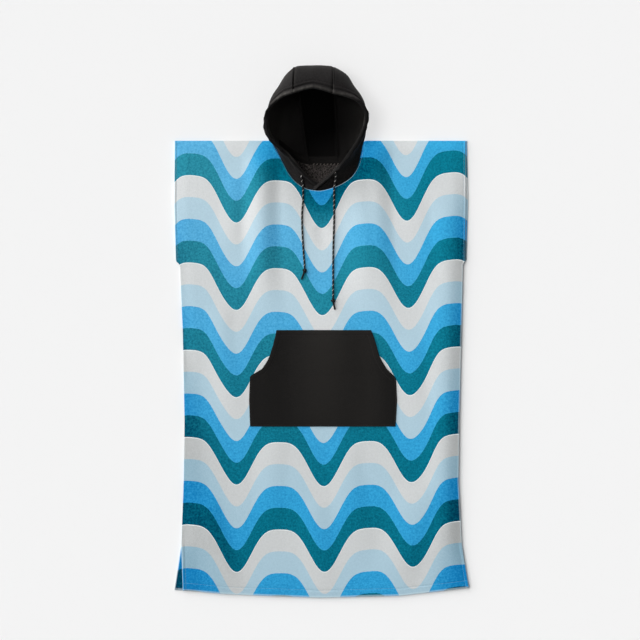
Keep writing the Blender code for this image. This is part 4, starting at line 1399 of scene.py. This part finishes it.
def painted_highlights(panel, along, around, distances, brow):
    """Painted highlight on the outer side: patchy along the roll, low on the casing, on the flank and beside seams.
    """
    waves = np.sin(distances[2] / PATCH_WAVES[0]) * np.sin(distances[2] / PATCH_WAVES[1] + 0.6)
    painted_highlight = np.clip(bell(distances[0], *ROLL_HIGHLIGHT) * (1.0 + ROLL_PATCHES * waves) * brow, 0.0, 1.0)
    if panel != "centre":
        low = stretch(around, 0.12, 0.52, 0.1, 0.12)[None, :]
        painted_highlight = painted_highlight + LOW_HIGHLIGHT * low * bell(distances[0], *LOW_HIGHLIGHT_BAND)
    if panel == "left":
        return painted_highlight + FLANK_HIGHLIGHT * bell(around, 0.9, 0.09)[None, :] * bell(along, 0.28, 0.2)[:, None]
    from_seam = distances[2] if panel == "centre" else distances[3]
    over_crown = stretch(along, 0.0, 0.5, 0.05, 0.1)[:, None]
    return painted_highlight + SEAM_HIGHLIGHT * bell(from_seam, *SEAM_HIGHLIGHT_BAND) * over_crown


def face_map(panel, along, around, distances, brow):
    """Share of the painted shade colour and share of the painted highlight colour at every point of the upper and
    the lower face.
    """
    painted_highlight = painted_highlights(panel, along, around, distances, brow)
    # Painted shade: behind the casing's row the inner side turns to the blacker colour.
    inner = soft_step((distances[0] - CASING_ROW) / 5.0)
    if panel == "centre":
        faces = [(np.zeros_like(painted_highlight), painted_highlight), (inner, painted_highlight)]
    else:
        lit = INNER_LIT * bell(around, *INNER_LIT_BAND)[None, :]
        low = stretch(around, 0.1, 0.62, 0.1, 0.2)[None, :]
        crease = CREASE_SHADE * bell(distances[0], *CREASE_BAND) * low
        beside_opening = stretch(around, RIM_FROM[panel], 0.84, 0.1, 0.08)[None, :]
        rim = RIM_SHADE * bell(distances[0], 0.0, RIM_WIDTH) * beside_opening
        painted_highlight = painted_highlight * (1.0 - rim)
        inner = np.maximum(inner * (1.0 - lit), rim)
        faces = [(np.maximum(crease, rim), painted_highlight), (inner, painted_highlight + lit * (1.0 - rim))]
    return np.vstack([np.stack([dark.ravel(), pale.ravel()], axis=1) for dark, pale in faces])


def brow_share(side, around):
    """Share of the roll's painted highlight along a side panel's hem: little down the side, and growing at the
    brow.
    """
    least = HIGHLIGHT_SIDE[side]
    return least + (HIGHLIGHT_BROW[side] - least) * soft_step((around - BROW_FROM[side]) / 0.1)[None, :]


# %% Hood panels
STRIP_LENGTH = 290.0
STRIP_WIDTH = 100.0
HEM_AROUND = 330.0
SEAM_SINK = 3.0  # the joined edges are turned in, which leaves a valley along the seam
SEAM_WIDTH = 3.0
FULL_INSIDE = 0.6  # share of the casing's fullness that swells inwards
HOOD_STITCH = (3.4, 2.5, 0.8)  # pitch, length and width

hood_along = steps(STRIP_LENGTH, 4.2, 30.0, 4.0)
strip_across = steps(STRIP_WIDTH, 4.0, 4.0, 4.0)
side_around = steps(HEM_AROUND, 4.2, 4.0, 4.0)
casing_lines = []


def add_hood_panel(panel, grid, around, outside, room_over, room_under, brow):
    """One panel; room_over and room_under fade the casing's fullness where another panel lies close."""
    distances = edge_distances(grid)
    from_seam = np.minimum(distances[2], distances[3]) if panel == "centre" else distances[3]
    valley = SEAM_SINK * bell(from_seam, 0.0, SEAM_WIDTH)
    grid = grid + surface_normal(grid, outside) * (dents(panel, hood_along, around) - valley)[..., None]
    grid[..., 2] = np.maximum(grid[..., 2], HOOD_WALL / 2.0)
    distances = edge_distances(grid)
    half = HOOD_WALL / 2.0 * rounding(distances)
    fullness = casing(distances[0], distances[2]) * rounding(distances, 0.0)
    maps = {"cloth": cloth_map(grid), "face": face_map(panel, hood_along, around, distances, brow)}
    name = f"hood_{panel}"
    upper, _ = add_sheet(
        name + "_jersey", name, grid, half + fullness * room_over, half + FULL_INSIDE * fullness * room_under,
        maps, black_knit, outside,
    )
    casing_lines.append(inset_line(upper, distances[0], CASING_ROW, surface_normal(upper, outside)))


ones = np.ones((1, 1))
from_crossing = side_around[None, :]
across_brow = HIGHLIGHT_BROW[0] + (HIGHLIGHT_BROW[1] - HIGHLIGHT_BROW[0]) * soft_step(strip_across)[None, :]
add_hood_panel(
    "left", side_grid(0, hood_along, side_around), side_around, -1, soft_step((from_crossing - 0.12) / 0.15), ones,
    brow_share(0, side_around),
)
add_hood_panel(
    "centre", strip_grid(hood_along, strip_across), strip_across, -1, ones, ones, across_brow
)
add_hood_panel(
    "right", side_grid(1, hood_along, side_around), side_around, 1, ones, soft_step((from_crossing - 0.25) / 0.15),
    brow_share(1, side_around),
)
add_stitches("hood_stitches", casing_lines, *HOOD_STITCH, black_thread, "black_knit")


# %% [markdown]
# ## Inside the neck
# A half-moon facing covers the inside of the back below the neck, and a tape binds the seam between the body and
# the hood. Both lie flat on the back panel and are seen through the face opening. Each is a band between two
# curves, and an overlock row of slanted grey stitches runs along the tape's upper edge.

# %% Neck facing and tape
TRIM_WALL = 1.0
FACING_ENDS = (-76.0, 78.0)  # left and right x
FACING_DROP = 4.0  # how far its upper edge lies below the neck edge
FACING_DEPTH = 88.0  # in the middle
FACING_END_DEPTH = 8.0
TAPE_ENDS = (-105.0, 64.0)
TAPE_SEEN = (-26.0, 58.0)  # stitches are made where they show
TAPE_DROP = 5.5  # how far its lower edge lies below the neck edge
TAPE_WIDTH = 20.0
TAPE_RISE = 1.1  # where the tape lies over the facing's upper edge
TAPE_STITCH = (8.5, 5.8, 1.6)  # pitch, length and width of the overlock stitches
TAPE_LEAN = 32.0  # degrees
TAPE_ROW = -4  # row of the tape's grid that they follow, counted from its upper edge


def band_grid(x, top, bottom, share, rise):
    """Rows straight from a top to a bottom edge, both given at each x; `rise` lifts the lower one."""
    y = top[None, :] * (1.0 - share[:, None]) + bottom[None, :] * share[:, None]
    level = PANEL_WALL + SEAM_GAP + TRIM_WALL / 2.0 + rise * soft_step((share - 0.45) / 0.3)
    return np.stack(np.broadcast_arrays(x, y, level[:, None]), axis=-1)


def add_band(name, node_name, x, top, bottom, share, material, rise=0.0):
    """Thin band of cloth whose wall tapers at its edges."""
    grid = band_grid(x, top, bottom, share, rise)
    half = TRIM_WALL / 2.0 * rounding(edge_distances(grid))
    maps = {"cloth": cloth_map(grid)}
    return add_sheet(name, node_name, grid, half, half, maps, material)


angle = np.linspace(np.pi, 0.0, 60)
facing_x = np.mean(FACING_ENDS) + (FACING_ENDS[1] - FACING_ENDS[0]) / 2.0 * np.cos(angle)
facing_top = neck_line(BACK_NECK, facing_x) - FACING_DROP
deep = FACING_END_DEPTH + (FACING_DEPTH - FACING_END_DEPTH) * np.sin(angle)
facing_bottom = np.minimum(BACK_NECK_MIDDLE_Y - FACING_DROP - deep, facing_top - FACING_END_DEPTH)
add_band(
    "facing_jersey", "neck_facing", facing_x, facing_top, facing_bottom, steps(80.0, 3.0, 3.0, 3.0), heather,
)
tape_x = np.linspace(*TAPE_ENDS, 60)
tape_bottom = neck_line(BACK_NECK, tape_x) - TAPE_DROP
tape_upper, _ = add_band(
    "tape_twill", "neck_tape", tape_x, tape_bottom + TAPE_WIDTH, tape_bottom, steps(TAPE_WIDTH, 2.0, 2.0, 2.0),
    twill, TAPE_RISE,
)
tape_line = tape_upper[TAPE_ROW][(tape_x > TAPE_SEEN[0]) & (tape_x < TAPE_SEEN[1])]
upwards = np.broadcast_to((0.0, 0.0, 1.0), tape_line.shape)
add_stitches("tape_stitches", [(tape_line, upwards)], *TAPE_STITCH, grey_thread, "black_tape", TAPE_LEAN)

# %% [markdown]
# ## Kangaroo pocket
# One piece of the hood's double-knit, sewn down along the bottom and the straight part of the sides. The slanted
# edges are left open for the hands, and are hemmed like the top. It follows every crease of the front below it,
# with a little air in the middle.

# %% Pocket
POCKET_WALL = 2.5
POCKET_BULGE = 2.6  # air under its middle
POCKET_LIFT = 0.4  # share of that air at the openings
OPENING_HEM = 13.0
TOP_HEM = 12.5
SEWN_ROW = 3.5
OPENING_STEP = 0.5  # the hems stand this far proud
TOP_STEP = 0.45
HEM_SINK = 0.7  # depth of the groove along their stitches
SEWN_SINK = (0.8, 1.3)  # depth and half width of the groove along the sewn edges
FOLD_SLANT = 0.12  # the pocket's folds lean this far to the left for each millimetre upwards
FOLD_Y = -110.0  # height on the pattern at which their table gives x
PAINTED_LIGHT_MIDDLE = 0.18  # painted light: lighter down the middle, fading towards the bottom, and beside it on the right
PAINTED_LIGHT_RIGHT = 0.08
# paler line along all the pocket's edges
PALE_POCKET_EDGE = 0.06
POCKET_STITCH = (3.4, 2.5, 0.8)
THREAD_SEAT = 0.3  # how deep the stitches sit in the cloth
POCKET_WIDTH = 300.0  # near enough the middle width, to space the grid's columns

POCKET_SIDES = (
    # y, left x, right x
    (3.5, -111.5, 120.0),
    (-13.5, -115.0, 127.0),
    (-33.0, -120.0, 133.0),
    (-57.5, -127.5, 139.5),
    (-75.0, -135.5, 148.0),
    (-91.5, -147.0, 158.5),
    (-109.0, -176.0, 176.5),
    (-115.0, -176.5, 181.0),
    (-167.5, -178.5, 183.5),
    (-232.5, -176.0, 180.0),
)
POCKET_TOP_Y = POCKET_SIDES[0][0]
POCKET_BOTTOM_Y = POCKET_SIDES[-1][0]
POCKET_LENGTH = POCKET_TOP_Y - POCKET_BOTTOM_Y
CORNER_ROW = 6  # row where the slanted opening meets the sewn side
POCKET_CORNER_Y = POCKET_SIDES[CORNER_ROW][0]

POCKET_FOLDS = (
    # x, half width, height
    (-148.0, 20.0, 0.6),
    (-92.0, 26.0, -2.0),
    (-22.0, 34.0, 1.5),
    (46.0, 20.0, -0.5),
    (112.0, 26.0, -1.5),
    (150.0, 20.0, 0.7),
)


def pocket_height(x, y):
    """Height of the pocket's underside: the finished front's upper face and the air above it."""
    left = read_table(POCKET_SIDES, 0, 1, y)
    right = read_table(POCKET_SIDES, 0, 2, y)
    across = np.clip((x - left) / (right - left), 0.0, 1.0)
    down = np.clip((POCKET_TOP_Y - y) / POCKET_LENGTH, 0.0, 1.0)
    open_share = (POCKET_TOP_Y - POCKET_CORNER_Y) / POCKET_LENGTH
    open_side = POCKET_LIFT * np.sin(np.pi * np.clip(down / open_share, 0.0, 1.0))
    bulge = np.sqrt(np.sin(np.pi * down).clip(0.0)) * np.sin(np.pi * across)
    air = POCKET_BULGE * np.maximum(bulge, open_side)
    for middle, half_width, height in POCKET_FOLDS:
        fold = height * bell(x + FOLD_SLANT * (y - FOLD_Y), middle, half_width)
        air = air + fold * stretch(down, 0.0, 1.0, 0.2, 0.2) * soft_step(bulge / 0.4)
    air = np.maximum(air, 0.0)
    inland = np.full_like(x, HALF_WIDTH)
    return finished_front(x, y, inland) + PANEL_WALL + SEAM_GAP + air


pocket_down = steps(POCKET_LENGTH, 3.2, 16.0, 5.0)
pocket_across = steps(POCKET_WIDTH, 3.2, 18.0, 18.0)
pocket_y = POCKET_TOP_Y - POCKET_LENGTH * pocket_down
pocket_left = read_table(POCKET_SIDES, 0, 1, pocket_y)[:, None]
pocket_right = read_table(POCKET_SIDES, 0, 2, pocket_y)[:, None]
x = pocket_left + (pocket_right - pocket_left) * pocket_across[None, :]
y = np.broadcast_to(pocket_y[:, None], x.shape)
grid = np.stack([x, y, pocket_height(x, y) + POCKET_WALL / 2.0], axis=-1)

sides = np.array(POCKET_SIDES)
openings = [sides[: CORNER_ROW + 1, [column_x, 0]] for column_x in (1, 2)]
bottom_line = np.array([(sides[-1, 1], sides[-1, 0]), (sides[-1, 2], sides[-1, 0])])
sewn = [sides[CORNER_ROW:, [1, 0]], sides[CORNER_ROW:, [2, 0]], bottom_line]
from_opening = np.minimum(*(distance_to(x, y, line) for line in openings))
from_sewn = np.minimum.reduce([distance_to(x, y, line) for line in sewn])
from_top = POCKET_TOP_Y - y
from_edge = np.minimum(np.minimum(from_opening, from_sewn), from_top)
relief = -SEWN_SINK[0] * bell(from_sewn, SEWN_ROW, SEWN_SINK[1])
for distance, hem, step in ((from_opening, OPENING_HEM, OPENING_STEP), (from_top, TOP_HEM, TOP_STEP)):
    doubled = step * (1.0 - soft_step((distance - hem) / 2.0))
    relief = relief + doubled - HEM_SINK * bell(distance, hem, STITCH_WIDTH)
# Painted light on the pocket: lighter in the middle and on the right, and a paler line along the edges.
painted_light_and_edge = PAINTED_LIGHT_MIDDLE * bell(x, 5.0, 62.0) * (1.0 - 0.5 * from_top / POCKET_LENGTH)
painted_light_and_edge = painted_light_and_edge + PAINTED_LIGHT_RIGHT * bell(x, 112.0, 38.0) + PALE_POCKET_EDGE * bell(from_edge, 1.5, 2.0)
half = POCKET_WALL / 2.0 * rounding([from_edge])
add_sheet(
    "pocket_jersey", "pocket", grid, half + relief * rounding([from_edge], 0.0), half,
    {"cloth": cloth_map(grid), "face": both_sides(np.zeros_like(x), painted_light_and_edge)}, pocket_knit,
)


def on_pocket(x, y):
    """A line of stitches in plan, raised to the pocket's upper face."""
    z = pocket_height(x, y) + POCKET_WALL - THREAD_SEAT
    return np.stack([x, y, z], axis=1), np.broadcast_to((0.0, 0.0, 1.0), (len(x), 3))


def beside(line, distance):
    """A line in plan moved sideways by a distance, to its left as it is walked."""
    run = unit(np.gradient(line, axis=0))
    return line + distance * np.stack([-run[:, 1], run[:, 0]], axis=1)


ROW_POINTS = 160


def evenly(line):
    """A line in plan with evenly spaced points."""
    reach = walked(line)
    at = np.linspace(0.0, reach[-1], ROW_POINTS)
    return np.stack([np.interp(at, reach, line[:, axis]) for axis in range(2)], axis=1)


pocket_rows = []
for left_and_right, inward in ((openings, OPENING_HEM), (sewn[:2], SEWN_ROW)):
    for line, way in zip(left_and_right, (1.0, -1.0)):
        moved = beside(evenly(line), way * inward)
        moved = moved[(moved[:, 1] < POCKET_TOP_Y - 1.0) & (moved[:, 1] > POCKET_BOTTOM_Y + 1.0)]
        pocket_rows.append(on_pocket(moved[:, 0], moved[:, 1]))
for row, row_y in ((0, POCKET_TOP_Y - TOP_HEM), (-1, POCKET_BOTTOM_Y + SEWN_ROW)):
    row_x = np.linspace(sides[row, 1] + ROW_STOP, sides[row, 2] - ROW_STOP, ROW_POINTS)
    pocket_rows.append(on_pocket(row_x, np.full_like(row_x, row_y)))
add_stitches("pocket_stitches", pocket_rows, *POCKET_STITCH, black_thread, "black_knit")

# %% [markdown]
# ## Floor and light
# A matt white floor, three suns and an even sky. The body's sun is as wide as a window and comes in low from the
# upper left, so flat folds are read by their darker right flanks. The hood stands 120 mm up and would throw that
# sun's shadow far over the body and the floor, so light linking gives it a sun of its own, more from behind the
# crown, and takes it out of what stops the body's. A third sun stands high on the left. Everything stops it, so it
# gives the hood its short soft shadow on the floor, and only the hood's centre strip, which faces it, is left out
# of its light. One area lamp would be simpler, but it could not light flat cloth low and the hood from behind.

# %% Floor
FLOOR_DROP = 0.0003
FLOOR_HALF = 4.0

paint = bpy.data.materials.new("matt_white_painted_board")
paint.use_nodes = True
shader = paint.node_tree.nodes["Principled BSDF"]
shader.inputs["Base Color"].default_value = linear("#F3F3F3")
shader.inputs["Roughness"].default_value = 1.0
shader.inputs["Specular IOR Level"].default_value = 0.0
mesh = bpy.data.meshes.new("floor")
corners = [(x * FLOOR_HALF, y * FLOOR_HALF, -FLOOR_DROP) for x, y in ((-1, -1), (1, -1), (1, 1), (-1, 1))]
mesh.from_pydata(corners, [], [(0, 1, 2, 3)])
mesh.materials.append(paint)
floor = bpy.data.objects.new("floor", mesh)
bpy.context.scene.collection.objects.link(floor)

# %% Lights
# each: direction it comes from, spread in degrees, strength
BODY_LIGHT = ((-0.80, 0.48, 0.56), 95.0, 3.94)
HOOD_LIGHT = ((-0.85, 0.65, 0.52), 30.0, 4.3)
HIGH_LIGHT = ((-0.36, 0.04, 0.93), 26.0, 0.56)
SKY_STRENGTH = 0.175
HOOD_PIECES = (
    "hood_left_jersey", "hood_centre_jersey", "hood_right_jersey", "hood_stitches", "facing_jersey", "tape_twill",
    "tape_stitches",
)


def linked(name, pieces, state):
    """Collection of pieces for light linking, each included or excluded."""
    group = bpy.data.collections.new(name)
    for piece in pieces:
        group.objects.link(piece)
    for member in group.collection_objects:
        member.light_linking.link_state = state
    return group


def add_sun(name, setting):
    """Sun lamp that shines from a direction; its spread softens the shadows."""
    (east, north, up), spread, strength = setting
    light = bpy.data.lights.new(name, "SUN")
    light.angle = np.radians(spread)
    light.energy = strength
    lamp = bpy.data.objects.new(name, light)
    lamp.rotation_euler = (np.arctan2(np.hypot(east, north), up), 0.0, np.arctan2(east, -north))
    bpy.context.scene.collection.objects.link(lamp)
    return lamp


hood_pieces = [bpy.data.objects[name] for name in HOOD_PIECES]
strip = [bpy.data.objects["hood_centre_jersey"]]
body_lamp = add_sun("body_light", BODY_LIGHT)
body_lamp.light_linking.receiver_collection = linked("lit_by_the_hood_light", hood_pieces, "EXCLUDE")
body_lamp.light_linking.blocker_collection = linked("no_shade_on_the_body", hood_pieces, "EXCLUDE")
hood_lamp = add_sun("hood_light", HOOD_LIGHT)
high_lamp = add_sun("high_light", HIGH_LIGHT)
high_lamp.light_linking.receiver_collection = linked("strip_out_of_the_high_light", strip, "EXCLUDE")
hood_lamp.light_linking.receiver_collection = linked("hood_in_its_light", hood_pieces, "INCLUDE")
print("suns:", body_lamp.name, hood_lamp.name, high_lamp.name)

sky = bpy.data.worlds.new("sky")
sky.use_nodes = True
sky.node_tree.nodes["Background"].inputs["Color"].default_value = (1.0, 1.0, 1.0, 1.0)
sky.node_tree.nodes["Background"].inputs["Strength"].default_value = SKY_STRENGTH
bpy.context.scene.world = sky
bpy.context.scene.view_settings.view_transform = "Standard"
